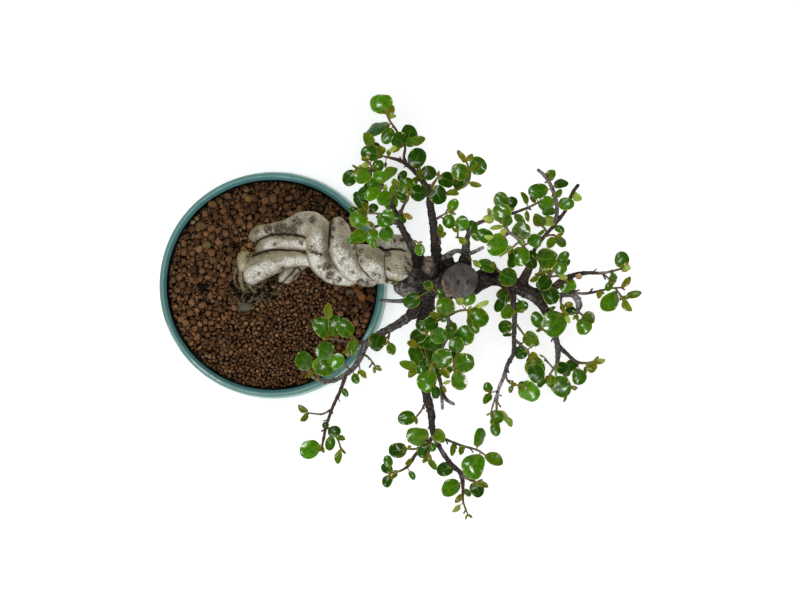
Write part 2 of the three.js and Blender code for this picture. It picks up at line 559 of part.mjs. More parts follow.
        radii: [1.2, 1.3, 1.2, 1.1, 1, 0.9, 0.7] },
      { route: [[615, 288, 107], [619, 293, 106.5], [622, 297, 106.5]], radii: [0.9, 0.8, 0.8] },
    ],
    leaves: [
      [621.5, 260.3, 17, 14, 'green', 110], [625.9, 268.5, 10, 9, 'olive', 0],
      [612.9, 280.4, 14, 8, 'green', 70], [626.4, 281.5, 12, 7, 'olive', 20],
      [609, 302, 20, 17, 'bright', 215], [614.5, 293.4, 10, 6, 'olive', 190],
      [634.6, 294, 14, 8, 'olive', 15], [628, 305.9, 12, 8, 'olive', 305],
      [567.9, 286.4, 17, 16, 'bright', 150],
    ],
  },
  branch_right_outer: {
    seed: 208,
    twigs: [
      { route: [[541, 304, 107.5], [551, 298, 106.5], [562, 295, 106], [573, 295, 105.5],
        [579, 304, 105], [576.5, 315, 104.5]], radii: [1.6, 1.7, 1.7, 1.9, 2, 1.2], sides: 5 },
      { route: [[561, 295, 106], [561, 303, 106.5], [563.5, 312, 107]], radii: [1.2, 1, 0.8] },
      { route: [[577, 311, 105], [584, 316, 105]], radii: [1, 0.8] },
    ],
    leaves: [
      [571, 310.8, 11, 9, 'dark', 170], [588.5, 318.7, 13, 13, 'olive', 0],
      [583.3, 327, 15, 15, 'bright', 270], [555, 324.5, 25, 24, 'bright', 235],
      [569, 305, 8, 6, 'olive', 0],
    ],
  },
  branch_right: {
    seed: 209,
    twigs: [
      { route: [[543, 307, 107.5], [549, 320, 106.5], [555, 334, 104.5], [558, 350, 103],
        [558, 367, 101], [565, 376, 100], [571.4, 387, 99]],
        radii: [1.9, 1.9, 1.9, 1.8, 1.2, 0.9, 0.8], sides: 5 },
      { route: [[558, 345, 103.5], [566, 353, 103], [577, 362, 103], [587, 363, 104],
        [594, 361, 105]], radii: [1.6, 1.4, 1.2, 0.9, 0.7] },
      { route: [[557.5, 363, 102], [554, 368, 104.5], [549, 376, 106]], radii: [0.9, 0.9, 0.8] },
      { route: [[553, 368, 105], [547, 361, 107], [544.6, 357.4, 107.5]], radii: [0.8, 0.7, 0.6] },
      { route: [[551, 324, 106], [545, 328, 108], [541, 329, 109]], radii: [0.9, 0.8, 0.7] },
    ],
    leaves: [
      [537, 319, 15, 12, 'green', 110], [560.5, 387.5, 21, 19, 'green', 320],
      [551, 381, 14, 10, 'olive', 290], [562.8, 367, 13, 12, 'green', 350],
      [572.4, 365, 13, 11, 'dark', 40], [578, 377, 15, 14, 'green', 270],
      [592.5, 367, 12, 11, 'olive', 280], [600, 360.5, 10, 6, 'olive', 10],
    ],
  },
  branch_lower_right: {
    seed: 210,
    twigs: [
      { route: [[512, 288, 108.5], [513.5, 303, 107], [514.5, 319, 106], [514, 338, 105],
        [513.5, 353, 104], [508, 364, 102], [504, 376, 100], [499, 388, 98], [497, 400, 96],
        [496.5, 411, 95]], radii: [2.4, 1.8, 1.6, 1.5, 1.5, 1.5, 1.4, 1.3, 1.1, 0.9], sides: 5 },
      { route: [[501, 384, 99], [495, 399, 98], [490.6, 413, 96.5]], radii: [1.1, 0.9, 0.7] },
      { route: [[514, 321, 106], [519, 328, 107], [525, 336, 108]], radii: [1.1, 0.9, 0.8] },
      { route: [[514, 339, 105], [522, 346, 105.5], [528, 351, 106], [529, 358, 106.5]],
        radii: [1.3, 1.1, 0.9, 0.8] },
      { route: [[505, 374, 100.5], [508, 381, 101], [513, 385, 102], [518, 385, 102.5]],
        radii: [0.9, 0.8, 0.8, 0.7] },
      { route: [[514, 302, 107.5], [509, 293, 112], [505, 283, 115], [498, 270, 118],
        [494, 266, 119]], radii: [1.4, 1.2, 1.1, 0.9, 0.8] },
      { route: [[497, 391, 97.5], [491, 392.5, 98]], radii: [0.8, 0.6] },
    ],
    leaves: [
      [531.7, 339.4, 18, 15, 'olive', 335], [521.5, 353, 14, 13, 'dark', 220],
      [535.5, 366, 20, 19, 'green', 330], [536.5, 374, 19, 16, 'bright', 290],
      [529, 392.5, 21, 20, 'bright', 330], [522.6, 387, 10, 7, 'olive', 340],
      [511, 389.5, 7, 5, 'olive', 270], [488.5, 387, 10, 9, 'green', 150],
      [487, 399, 12, 8, 'olive', 265], [498, 417, 12, 12, 'green', 300],
      [495.4, 425.5, 13, 9, 'green', 265], [503.5, 415, 10, 8, 'olive', 20],
      [508, 422.5, 11, 7, 'olive', 330], [508, 276.6, 20, 18, 'bright', 0],
      [505.6, 293.5, 19, 15, 'dark', 200], [500, 304.5, 16, 10, 'dark', 250],
      [507.2, 312, 15, 14, 'olive', 270], [522, 306, 12, 11, 'green', 10],
      [504.8, 326.7, 13, 13, 'green', 190], [487, 265, 18, 12, 'green', 190],
    ],
  },
  branch_lower: {
    seed: 211,
    twigs: [
      { route: [[424, 312, 102.5], [421, 324, 100.5], [423, 350, 99], [426, 375, 97],
        [427, 396, 96], [431, 412, 95], [432, 427, 93.5], [435, 438, 92.5]],
        radii: [3, 2.6, 2.5, 2.5, 2.5, 2.2, 1.9, 1.7], sides: 5 },
      { route: [[434, 434, 93], [429, 442, 92], [416, 454, 90], [408, 466, 88], [400, 471, 87],
        [391, 473, 86]], radii: [1.5, 1.4, 1.3, 1.2, 0.9, 0.7] },
      { route: [[434, 435, 93], [440, 448, 91], [451, 464, 89], [461, 474, 87.5], [463, 489, 86],
        [463, 501, 85], [468, 515, 84]], radii: [1.7, 1.6, 1.6, 1.6, 1.2, 0.9, 0.6] },
      { route: [[436, 437, 92.5], [447, 440, 93], [463, 446, 93], [477, 450, 93], [485, 455, 93]],
        radii: [1.3, 1.1, 1, 0.9, 0.8] },
      { route: [[461, 474, 87.5], [470, 480, 88], [477, 482, 88.5]], radii: [1.1, 0.9, 0.8] },
      { route: [[430, 358, 99], [437, 372, 99], [441, 385, 98], [443, 410, 97]],
        radii: [1.4, 1.3, 1.2, 0.8] },
      { route: [[441, 388, 98], [446, 399, 98], [455, 405, 98]], radii: [1, 0.9, 0.7] },
      { route: [[427, 399, 96], [421, 411, 95], [416, 417, 95]], radii: [0.9, 0.8, 0.7] },
      { route: [[421, 448, 91], [413, 449, 91.5], [407, 449, 92]], radii: [0.9, 0.8, 0.7] },
      { route: [[430, 440, 92.5], [428, 452, 93], [427, 458, 93]], radii: [0.9, 0.8, 0.7] },
    ],
    leaves: [
      [406.5, 418.2, 17, 14, 'green', 125], [417, 435.9, 21, 20, 'bright', 180],
      [439.3, 436.5, 15, 14, 'olive', 340], [397.9, 449.9, 18, 15, 'dark', 180],
      [424, 451, 15, 12, 'dark', 215], [388, 461, 11, 9, 'green', 100],
      [386.4, 468.4, 12, 10, 'green', 190], [387.7, 482, 11, 10, 'green', 250],
      [394, 476, 8, 5, 'olive', 280], [408.7, 462, 8, 6, 'olive', 170],
      [412, 476, 8, 6, 'green', 300], [445, 469.7, 17, 14, 'dark', 200],
      [450.8, 489, 19, 17, 'bright', 215], [433, 465.2, 11, 7, 'olive', 270],
      [425, 459.5, 8, 5, 'olive', 190], [452, 451, 10, 6, 'olive', 265],
      [460.4, 451, 8, 6, 'olive', 265], [480, 437, 18, 11, 'green', 85],
      [494, 459.5, 19, 13, 'olive', 325], [475.7, 467, 25, 22, 'bright', 250],
      [477, 490, 15, 14, 'green', 250], [484, 485, 9, 6, 'olive', 0],
      [458, 499, 9, 6, 'olive', 230], [456, 509, 9, 6, 'olive', 200],
    ],
  },
  branch_cluster: {
    seed: 212,
    twigs: [
      { route: [[440, 289, 113], [444, 298, 117], [447, 313, 116], [449, 330, 113], [444, 344, 111],
        [436, 356, 109], [431, 368, 107]], radii: [1.8, 1.6, 1.4, 1.3, 1.2, 1, 0.9], sides: 5 },
      { route: [[447.5, 316, 115.5], [459, 311, 116], [468, 310, 117]], radii: [1.1, 0.9, 0.8] },
      { route: [[442, 294, 115.5], [436, 292, 119], [432, 289, 120]], radii: [1, 0.8, 0.7] },
      { route: [[449, 330, 113], [456, 340, 110], [457, 355, 108], [453, 366, 106]],
        radii: [1.1, 1, 0.9, 0.8] },
      { route: [[446, 340, 111.5], [434, 345, 109], [424, 362, 107], [420, 369, 106]],
        radii: [1.1, 0.9, 0.8, 0.8] },
      { route: [[447, 315, 116], [436, 322, 113], [427, 331, 111]], radii: [1, 0.9, 0.8] },
    ],
    leaves: [
      [440.8, 294, 11, 9, 'green', 100], [445.5, 306.7, 20, 18, 'bright', 100],
      [467.3, 297.5, 15, 14, 'bright', 60], [459.5, 298.6, 11, 9, 'pale', 130],
      [478.6, 317, 20, 19, 'green', 340], [430.6, 323.5, 16, 14, 'green', 140],
      [482.7, 304, 13, 6, 'pale', 25], [410.9, 300.8, 16, 14, 'dark'],
      [417.5, 336, 16, 14, 'green', 160], [438.7, 335.5, 18, 16, 'bright', 0],
      [463.5, 335, 20, 19, 'green', 40], [411.9, 344, 10, 8, 'olive', 180],
      [417, 356, 22, 14, 'green', 115], [431, 352, 22, 13, 'dark', 100],
      [442.5, 358, 21, 19, 'bright', 40], [456.5, 345.3, 18, 15, 'bright', 150],
      [464, 363, 20, 19, 'green', 0], [459.7, 381, 18, 16, 'green', 300],
      [427.8, 382.3, 20, 19, 'bright', 270], [434.8, 392.5, 12, 9, 'dark', 290],
      [407.4, 365, 17, 10, 'olive', 170], [413, 374, 11, 8, 'olive', 200],
      [428.4, 285.5, 10, 8, 'dark', 130], [434, 315, 9, 7, 'olive', 200],
      [445, 374, 11, 8, 'olive', 290],
    ],
  },
  branch_left: {
    seed: 213,
    twigs: [
      { route: [[411, 315, 101], [400, 323, 98], [385, 331, 95], [367, 343, 92], [360, 358, 90],
        [352, 370, 88], [343, 376, 87], [333, 381, 86.5], [321, 381, 86.5], [311, 376, 87]],
        radii: [2.8, 2.6, 2.4, 2.3, 2.1, 2, 1.8, 1.6, 1.4, 0.9], sides: 5 },
      { route: [[346, 374, 87], [341, 389, 84], [332, 409, 81], [326, 427, 79], [322, 447, 78]],
        radii: [1.4, 1.3, 1.2, 1.2, 1], sides: 5 },
      { route: [[332, 409, 81], [322.4, 414, 82], [309, 413, 83]], radii: [0.9, 0.8, 0.7] },
      { route: [[365, 345, 91.5], [357, 342, 92.5], [348, 342, 93], [328.5, 338.5, 93.5]],
        radii: [1.1, 1, 0.9, 0.7] },
      { route: [[362, 353, 91], [369, 358, 90.5], [375, 366, 90]], radii: [1, 0.8, 0.7] },
      { route: [[351, 371, 88], [346, 366, 91], [341, 363, 92]], radii: [0.9, 0.8, 0.7] },
      { route: [[358, 361, 90], [360, 370, 89]], radii: [0.9, 0.7] },
      { route: [[326, 426, 79], [333, 433, 80], [338, 440, 81], [341, 449, 81]],
        radii: [0.9, 0.8, 0.8, 0.7] },
      { route: [[320, 381, 87], [317, 374, 90]], radii: [0.9, 0.7] },
      { route: [[349, 342, 93], [346, 350, 92]], radii: [0.8, 0.6] },
      { route: [[390, 328, 96], [389, 336, 95], [388, 341, 94.5]], radii: [1, 0.8, 0.7] },
    ],
    leaves: [
      [328.5, 310.6, 15, 9, 'olive', 60], [321, 327.6, 17, 16, 'green', 165],
      [332.7, 325, 17, 13, 'olive', 90], [345, 327, 19, 16, 'green', 120],
      [324.8, 350.6, 18, 18, 'bright', 150], [304.2, 360.9, 22, 16, 'bright', 120],
      [324.2, 367.5, 17, 17, 'green', 200], [335.7, 361.5, 19, 14, 'bright', 10],
      [353.3, 347, 19, 10, 'olive', 250], [378, 342, 19, 17, 'dark', 280],
      [391.5, 349.4, 11, 10, 'olive', 320], [356, 379, 9, 8, 'green', 280],
      [363.5, 374.5, 9, 6, 'olive', 300], [345.4, 393, 8, 6, 'green', 290],
      [302.5, 408, 10, 7, 'olive', 110], [304, 418, 9, 6, 'olive', 250],
      [326, 426, 8, 7, 'dark', 100], [334.5, 433, 14, 13, 'dark', 80],
      [330, 444, 13, 10, 'green', 290], [309.7, 450, 20, 19, 'bright', 205],
      [341, 438.5, 9, 6, 'olive', 0], [338.8, 457.8, 12, 8, 'olive', 250],
    ],
  },
};

// Pot: a turned wall on a notched foot ring, with a drain hole in its floor

function turned(profile, facets) {
  const outline = profile.map(([radius, height]) => new THREE.Vector2(radius, height));
  return solidFromGeometry(new THREE.LatheGeometry(outline, facets));
}

function box(width, depth, height, centre) {
  const geometry = new THREE.BoxGeometry(width, depth, height);
  return solidFromGeometry(geometry.rotateZ(centre.turn ?? 0).translate(centre.x, centre.y, centre.z));
}

// LatheGeometry turns its profile about the upright Y axis, so a quarter turn brings it to Z
const upright = (shape) => shape.rotate([90, 0, 0]);

function potSolid() {
  const wall = upright(turned(POT_OUTLINE, WALL_FACETS));
  const middle = (FOOT_OUTER_RADIUS + FOOT_INNER_RADIUS) / 2;
  const notches = [0, 1, 2].map((k) => {
    const turn = Math.PI / 3 + (2 * Math.PI * k) / 3;
    const centre = { x: middle * Math.cos(turn), y: middle * Math.sin(turn), z: 0, turn };
    return box(NOTCH_DEPTH, FOOT_NOTCH_WIDTH, 2 * NOTCH_HEIGHT, centre);
  });
  return notches.reduce((pot, notch) => pot.subtract(notch), wall);
}

// Soil: rings of points, ring i having 6 i of them, every third one raised as a granule
function soilSolid() {
  const draw = seededDraws(31);
  const shift = () => GRANULE_SHIFT * (draw() - 0.5);
  const points = [new THREE.Vector3(0, 0, SOIL_EDGE_HEIGHT + SOIL_CROWN)];
  const triangles = [];
  const ringStart = (i) => 1 + 3 * i * (i - 1);
  for (let i = 1; i <= SOIL_RINGS; i += 1) {
    const share = i / SOIL_RINGS;
    const atEdge = i === SOIL_RINGS;
    for (let j = 0; j < 6 * i; j += 1) {
      const angle = (2 * Math.PI * (j + (atEdge ? 0 : shift()))) / (6 * i);
      const radius = SOIL_TOP_RADIUS * (share + (atEdge ? 0 : shift() / SOIL_RINGS));
      const raised = (i + j) % 3 === 0 && !atEdge ? GRANULE_RISE * (0.6 + 0.6 * draw()) : 0;
      const height = SOIL_EDGE_HEIGHT + SOIL_CROWN * (1 - share * share) + raised;
      points.push(new THREE.Vector3(radius * Math.cos(angle), radius * Math.sin(angle), height));
    }
    for (let sector = 0; sector < 6; sector += 1) {
      for (let k = 0; k < i; k += 1) {
        const outer = ringStart(i) + sector * i + k;
        const outerNext = ringStart(i) + ((sector * i + k + 1) % (6 * i));
        const inner = i === 1 ? 0 : ringStart(i - 1) + ((sector * (i - 1) + k) % (6 * (i - 1)));
        triangles.push([inner, outer, outerNext]);
        if (k < i - 1) {
          const innerNext = ringStart(i - 1) + ((sector * (i - 1) + k + 1) % (6 * (i - 1)));
          triangles.push([inner, outerNext, innerNext]);
        }
      }
    }
  }
  const rimCount = 6 * SOIL_RINGS;
  let above = ringStart(SOIL_RINGS);
  for (const [radius, height] of SOIL_SIDE) {
    const start = points.length;
    for (let j = 0; j < rimCount; j += 1) {
      const angle = (2 * Math.PI * j) / rimCount;
      points.push(new THREE.Vector3(radius * Math.cos(angle), radius * Math.sin(angle), height));
      const next = (j + 1) % rimCount;
      triangles.push([above + j, start + j, start + next], [above + j, start + next, above + next]);
    }
    above = start;
  }
  points.push(new THREE.Vector3(0, 0, FLOOR_TOP + GAP));
  for (let j = 0; j < rimCount; j += 1) {
    triangles.push([points.length - 1, above + ((j + 1) % rimCount), above + j]);
  }
  return solid(points, triangles);
}

// Drain mesh: a square plate with square holes, lying on the pot's floor over the drain hole
function drainMeshSolid(grow = 0) {
  const thickness = MESH_THICKNESS + 2 * grow;
  const height = FLOOR_TOP + GAP + MESH_THICKNESS / 2;
  const plate = box(MESH_SIZE + 2 * grow, MESH_SIZE + 2 * grow, thickness, { x: 0, y: 0, z: height });
  if (grow) return plate;
  const pitch = MESH_SIZE / MESH_BARS;
  const holes = [];
  for (let i = 0; i < MESH_BARS; i += 1) {
    for (let j = 0; j < MESH_BARS; j += 1) {
      const x = pitch * (i + 0.5) - MESH_SIZE / 2;
      const y = pitch * (j + 0.5) - MESH_SIZE / 2;
      const hole = MESH_HOLE_SHARE * pitch;
      holes.push(box(hole, hole, 2 * thickness, { x, y, z: height }));
    }
  }
  return plate.subtract(joinAll(holes));
}

// Sealed cut: a low turned cap on the end of the trunk
function cutSolid() {
  const bottom = CUT_TOP - CUT_THICKNESS;
  const cap = upright(turned([
    [0, bottom],
    [CUT_RADIUS - 0.5, bottom],
    [CUT_RADIUS, bottom + 0.9],
    [CUT_RADIUS - 0.7, CUT_TOP - 0.5],
    [CUT_RADIUS - 3, CUT_TOP],
    [0, CUT_TOP],
  ], CUT_FACETS));
  const { x, y } = place([...CUT_PLAN, CUT_TOP]);
  return cap.translate([x, y, 0]);
}

// Colours and finishes

const finish = (color, roughness, clearcoat = 0) => (
  clearcoat
    ? new THREE.MeshPhysicalMaterial({ color, roughness, metalness: 0, clearcoat })
    : new THREE.MeshStandardMaterial({ color, roughness, metalness: 0 })
);

const FINISHES = {
  pot: () => finish(0x5f9b90, 0.3),
  soil: () => finish(0x6b4326, 0.95),
  drain_mesh: () => finish(0x2d2d30, 0.6),
  trunk: () => finish(0xa69c90, 0.6),
  cut_paste: () => finish(0x545052, 0.85),
  leaves: () => finish(0x3c8a1c, 0.35),
};

function geometryOf(shape) {
  const { vertProperties, triVerts } = shape.getMesh();
  const geometry = new THREE.BufferGeometry();
  geometry.setAttribute('position', new THREE.BufferAttribute(vertProperties, 3));
  geometry.setIndex(new THREE.BufferAttribute(triVerts, 1));
  geometry.computeVertexNormals();
  return geometry;
}

const part = new THREE.Group();

function addPiece(name, shape, material) {
  const mesh = new THREE.Mesh(geometryOf(shape), material);
  mesh.name = name;
  part.add(mesh);
}

const grownTrunk = trunkSolid(GAP);
addPiece('pot', potSolid(), FINISHES.pot());
const soil = soilSolid().subtract(grownTrunk).subtract(drainMeshSolid(GAP));
addPiece('soil', largestPiece(soil), FINISHES.soil());
addPiece('drain_mesh', drainMeshSolid(), FINISHES.drain_mesh());
addPiece('trunk', trunkSolid(), FINISHES.trunk());
addPiece('cut_paste', cutSolid(), FINISHES.cut_paste());

// Each branch is cleared of the trunk and of every branch before it
let taken = grownTrunk.add(cutSolid());
for (const [name, branch] of Object.entries(BRANCHES)) {
  addPiece(name, largestPiece(branchSolid(branch).subtract(taken)), FINISHES.leaves());
  taken = taken.add(branchSolid(branch, GAP));
}

// The whole part is moved so that the middle of its box stands over the origin
const bounds = new THREE.Box3().setFromObject(part);
const middle = bounds.getCenter(new THREE.Vector3());
part.position.set(-middle.x, -middle.y, -bounds.min.z);

export default part;
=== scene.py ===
"""Looks of a wall cotoneaster trained as a leaning bonsai in a round glazed pot.

Shapes are worked out in millimetres about the pot's axis and moved into the frame, in metres, at
the end. Plan positions are those of the part's source: half millimetres seen from above, (x, y,
height), moved along the line of sight of an eye over the plant.
"""

import math
from collections import namedtuple

import bpy
import numpy as np
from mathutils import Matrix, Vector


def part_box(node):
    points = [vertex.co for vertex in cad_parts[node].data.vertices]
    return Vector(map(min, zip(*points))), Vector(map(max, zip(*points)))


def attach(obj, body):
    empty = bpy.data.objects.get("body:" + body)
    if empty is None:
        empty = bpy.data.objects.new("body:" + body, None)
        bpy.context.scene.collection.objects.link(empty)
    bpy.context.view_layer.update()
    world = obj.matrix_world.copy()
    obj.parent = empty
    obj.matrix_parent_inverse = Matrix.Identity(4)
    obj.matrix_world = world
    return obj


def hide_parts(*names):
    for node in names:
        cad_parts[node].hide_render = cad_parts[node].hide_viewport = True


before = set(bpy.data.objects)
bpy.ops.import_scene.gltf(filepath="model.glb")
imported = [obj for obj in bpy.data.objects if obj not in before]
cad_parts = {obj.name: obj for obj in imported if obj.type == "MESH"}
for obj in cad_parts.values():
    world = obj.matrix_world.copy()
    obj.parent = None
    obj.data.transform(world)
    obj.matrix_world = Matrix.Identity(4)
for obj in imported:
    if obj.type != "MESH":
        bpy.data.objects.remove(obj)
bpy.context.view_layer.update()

PLAN_STEP = 0.5
PLAN_MIDDLE = np.array([400.0, 305.5])
PLAN_LEVEL = 95.0
PLAN_WIDTH = 800
EYE_HEIGHT = 1200.0
EYE_FROM_POT = np.array([66.3, -10.7])

POT_HEIGHT = 58.0
RIM_OUTER_RADIUS = 58.4
RIM_INNER_RADIUS = 54.4
FOOT_NOTCH_WIDTH = 16.0
FOOT_NOTCH_HEIGHT = 3.2
FLOOR_TOP = 9.5
SOIL_EDGE_HEIGHT = 53.2
SOIL_CROWN = 1.6
CUT_RADIUS = 8.75
CUT_THICKNESS = 2.6
CUT_TOP = 128.0
CUT_PLAN = (460.4, 280.7)

# Distance between the rings of a limb, in millimetres
RING_STEP = 0.8

pot_low, pot_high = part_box("pot")
POT_MIDDLE = np.array([(pot_low.x + pot_high.x) / 2, (pot_low.y + pot_high.y) / 2, 0.0])


# Numbers, curves and relief


def seeded_draws(seed):
    """The part's own random draws in 0..1, so that leaves tilt and stand as they do in its source."""
    state = seed

    def draw():
        nonlocal state
        state = (state + 0x6D2B79F5) & 0xFFFFFFFF
        mixed = ((state ^ (state >> 15)) * (1 | state)) & 0xFFFFFFFF
        mixed = ((mixed + ((mixed ^ (mixed >> 7)) * (61 | mixed))) & 0xFFFFFFFF) ^ mixed
        return ((mixed ^ (mixed >> 14)) & 0xFFFFFFFF) / 4294967296

    return draw


def spread_at(height):
    """How far a point is below the eye, as a share of how far the plan's level is."""
    return ((EYE_HEIGHT - height) / (EYE_HEIGHT - PLAN_LEVEL))[..., None]


def place(plan):
    """Plan points (x, y, height) as millimetres about the pot: across and back grow with the spread."""
    plan = np.asarray(plan, float)
    flat = (plan[..., :2] - PLAN_MIDDLE) * (PLAN_STEP, -PLAN_STEP) * spread_at(plan[..., 2]) + EYE_FROM_POT
    return np.concatenate([flat, plan[..., 2:]], axis=-1)


def plan_of(points):
    """Plan position of points: the inverse of place."""
    return (points[..., :2] - EYE_FROM_POT) / (PLAN_STEP * spread_at(points[..., 2])) * (1, -1) + PLAN_MIDDLE


def unit(vectors):
    return vectors / np.maximum(np.linalg.norm(vectors, axis=-1, keepdims=True), 1e-9)


def angles_round(sides):
    return 2 * np.pi * np.arange(sides) / sides


def spun(radius, height, angle):
    """Points about an upright axis: a row for each radius and height, with a point at each angle."""
    return np.stack(np.broadcast_arrays(radius * np.cos(angle), radius * np.sin(angle), height), -1)


def step_between(values, low, high):
    """0 below low, 1 above high, and the cubic 3s^2 - 2s^3 between them."""
    share = np.clip((values - low) / (high - low), 0, 1)
    return share * share * (3 - 2 * share)


def ripples(points, length, seed, waves=9):
    """Soft random relief of about -1..1: a sum of sine waves of seeded directions and phases, whose
    wavelengths spread about `length`."""
    rng = np.random.default_rng(seed)
    directions = unit(rng.normal(size=(waves, 3))) / (length * rng.uniform(0.65, 1.5, (waves, 1)))
    phases = rng.uniform(0, 2 * np.pi, waves)
    return np.sin(2 * np.pi * (points @ directions.T) + phases).sum(-1) / math.sqrt(waves)


def relief(skin, rows, seed, step):
    """Ripples added up for rows of (height, share lengthwise, wavelength), each with its own seed."""
    return sum(
        height * ripples(skin * (1, 1, share), length, seed + step * k)
        for k, (height, share, length) in enumerate(rows)
    )


def curve_through(points, t):
    """Positions and slopes at t in 0..1 on the centripetal Catmull-Rom curve through the points: in
    each span a cubic whose end slopes weigh the chords by the square roots of their lengths."""
    spans = len(points) - 1
    at = np.clip(t, 0, 1) * spans
    span = np.minimum(at.astype(int), spans - 1)
    w = (at - span)[:, None]
    padded = np.vstack([2 * points[0] - points[1], points, 2 * points[-1] - points[-2]])
    p0, p1, p2, p3 = (padded[span + k] for k in range(4))
    d0, d1, d2 = (np.sqrt(np.linalg.norm(b - a, axis=1))[:, None] for a, b in ((p0, p1), (p1, p2), (p2, p3)))
    slope1 = ((p1 - p0) / d0 - (p2 - p0) / (d0 + d1) + (p2 - p1) / d1) * d1
    slope2 = ((p2 - p1) / d1 - (p3 - p1) / (d1 + d2) + (p3 - p2) / d2) * d1
    square = 3 * (p2 - p1) - 2 * slope1 - slope2
    cube = 2 * (p1 - p2) + slope1 + slope2
    position = p1 + slope1 * w + square * w**2 + cube * w**3
    return position, unit(slope1 + 2 * square * w + 3 * cube * w**2)


def frames_along(forward):
    """Two cross directions for every point of a path: each pair is the last one's, turned the least."""
    across = np.cross((0.0, 0.0, 1.0), forward[0])
    if np.linalg.norm(across) < 1e-3:
        across = np.array([1.0, 0.0, 0.0])
    turned = np.empty_like(forward)
    for i, ahead in enumerate(forward):
        across = across - ahead * (across @ ahead)
        across = across / np.linalg.norm(across)
        turned[i] = across
    return turned, np.cross(forward, turned)


# Meshes: a form is points, faces and values at the points


def tube_faces(rings, sides):
    """Faces of a grid of rings that closes round and at both ends, on one point each: four-sided
    between rings and three-sided to the end points, which follow the rings' points."""
    number = np.arange(rings * sides).reshape(rings, sides)
    after = np.roll(number, -1, axis=1)
    quads = np.stack([number[:-1], after[:-1], after[1:], number[1:]], -1).reshape(-1, 4)
    start = np.full(sides, rings * sides)
    ends = [(start, after[0], number[0]), (start + 1, number[-1], after[-1])]
    return quads, np.vstack([np.column_stack(end) for end in ends])


def copies(grid, starts, ends, **values):
    """Many closed tubes of one layout: grid (count, rings, sides, 3), end points (count, 3), and
    values for every point (count, rings, sides, ...) or one for each copy (count, ...)."""
    count, rings, sides = grid.shape[:3]
    points = np.concatenate([grid.reshape(count, -1, 3), starts[:, None], ends[:, None]], axis=1)
    each = points.shape[1]
    shift = (np.arange(count) * each)[:, None, None]
    faces = tuple((f[None] + shift).reshape(-1, f.shape[1]) for f in tube_faces(rings, sides))
    made = {}
    for name, value in values.items():
        if value.shape[:3] == (count, rings, sides):
            flat = value.reshape((count, rings * sides) + value.shape[3:])
            first = value[:, 0].mean(1)[:, None]
            last = value[:, -1].mean(1)[:, None]
            value = np.concatenate([flat, first, last], axis=1)
        else:
            value = np.repeat(value[:, None], each, axis=1)
        made[name] = value.reshape((count * each,) + value.shape[2:])
    return {"points": points.reshape(-1, 3), "faces": faces, "values": made}


def form(grid, start, end, **values):
    """One closed tube: a grid of points (rings, sides, 3), its two end points and named values."""
    return copies(grid[None], start[None], end[None], **{name: value[None] for name, value in values.items()})


def gather(forms):
    """Several forms as one: their points in a row, and their faces counted on from each other."""
    starts = np.cumsum([0] + [len(f["points"]) for f in forms[:-1]])
    return {
        "points": np.vstack([f["points"] for f in forms]),
        "faces": tuple(
            np.vstack([f["faces"][k] + start for f, start in zip(forms, starts)]) for k in (0, 1)
        ),
        "values": {
            name: np.concatenate([f["values"][name] for f in forms]) for name in forms[0]["values"]
        },
    }


def piece(name, shape, material, stands_for=None):
    """Puts a form into a mesh object at the origin, in metres, riding on the one body."""
    mesh = bpy.data.meshes.new(name)
    faces = [tuple(face) for kind in shape["faces"] for face in kind.tolist()]
    mesh.from_pydata((shape["points"] / 1000 + POT_MIDDLE).tolist(), [], faces)
    for label, value in shape["values"].items():
        kind, key = ("FLOAT", "value") if value.ndim == 1 else ("FLOAT_VECTOR", "vector")
        mesh.attributes.new(label, kind, "POINT").data.foreach_set(key, value.astype(float).ravel())
    mesh.shade_smooth()
    mesh.materials.append(material)
    made = bpy.data.objects.new(name, mesh)
    bpy.context.scene.collection.objects.link(made)
    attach(made, "root")
    if stands_for:
        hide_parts(stands_for)
    return made


# Materials


def paint(red, green, blue):
    """An 8-bit screen colour as the linear colour that a socket takes."""
    share = np.array([red, green, blue]) / 255
    linear = np.where(share <= 0.04045, share / 12.92, ((share + 0.055) / 1.055) ** 2.4)
    return (*linear.tolist(), 1.0)


def tones(*colours):
    """8-bit screen colours as rows of linear red, green and blue, for values at points."""
    return np.array([paint(*colour)[:3] for colour in colours])


class Signal:
    """A node's output to reckon with: plus, minus, times and abs() each add a node."""

    def __init__(self, wiring, socket):
        self.wiring = wiring
        self.socket = socket

    def __add__(self, other):
        return self.wiring.math("ADD", self, other)

    def __sub__(self, other):
        return self.wiring.math("SUBTRACT", self, other)

    def __rsub__(self, other):
        return self.wiring.math("SUBTRACT", other, self)

    def __mul__(self, other):
        return self.wiring.math("MULTIPLY", self, other)

    def __abs__(self):
        return self.wiring.math("ABSOLUTE", self)


def feed(tree, socket, value):
    """Gives a socket its value: another node's output, or a number or colour of its own."""
    if isinstance(value, Signal):
        tree.links.new(value.socket, socket)
    else:
        socket.default_value = value


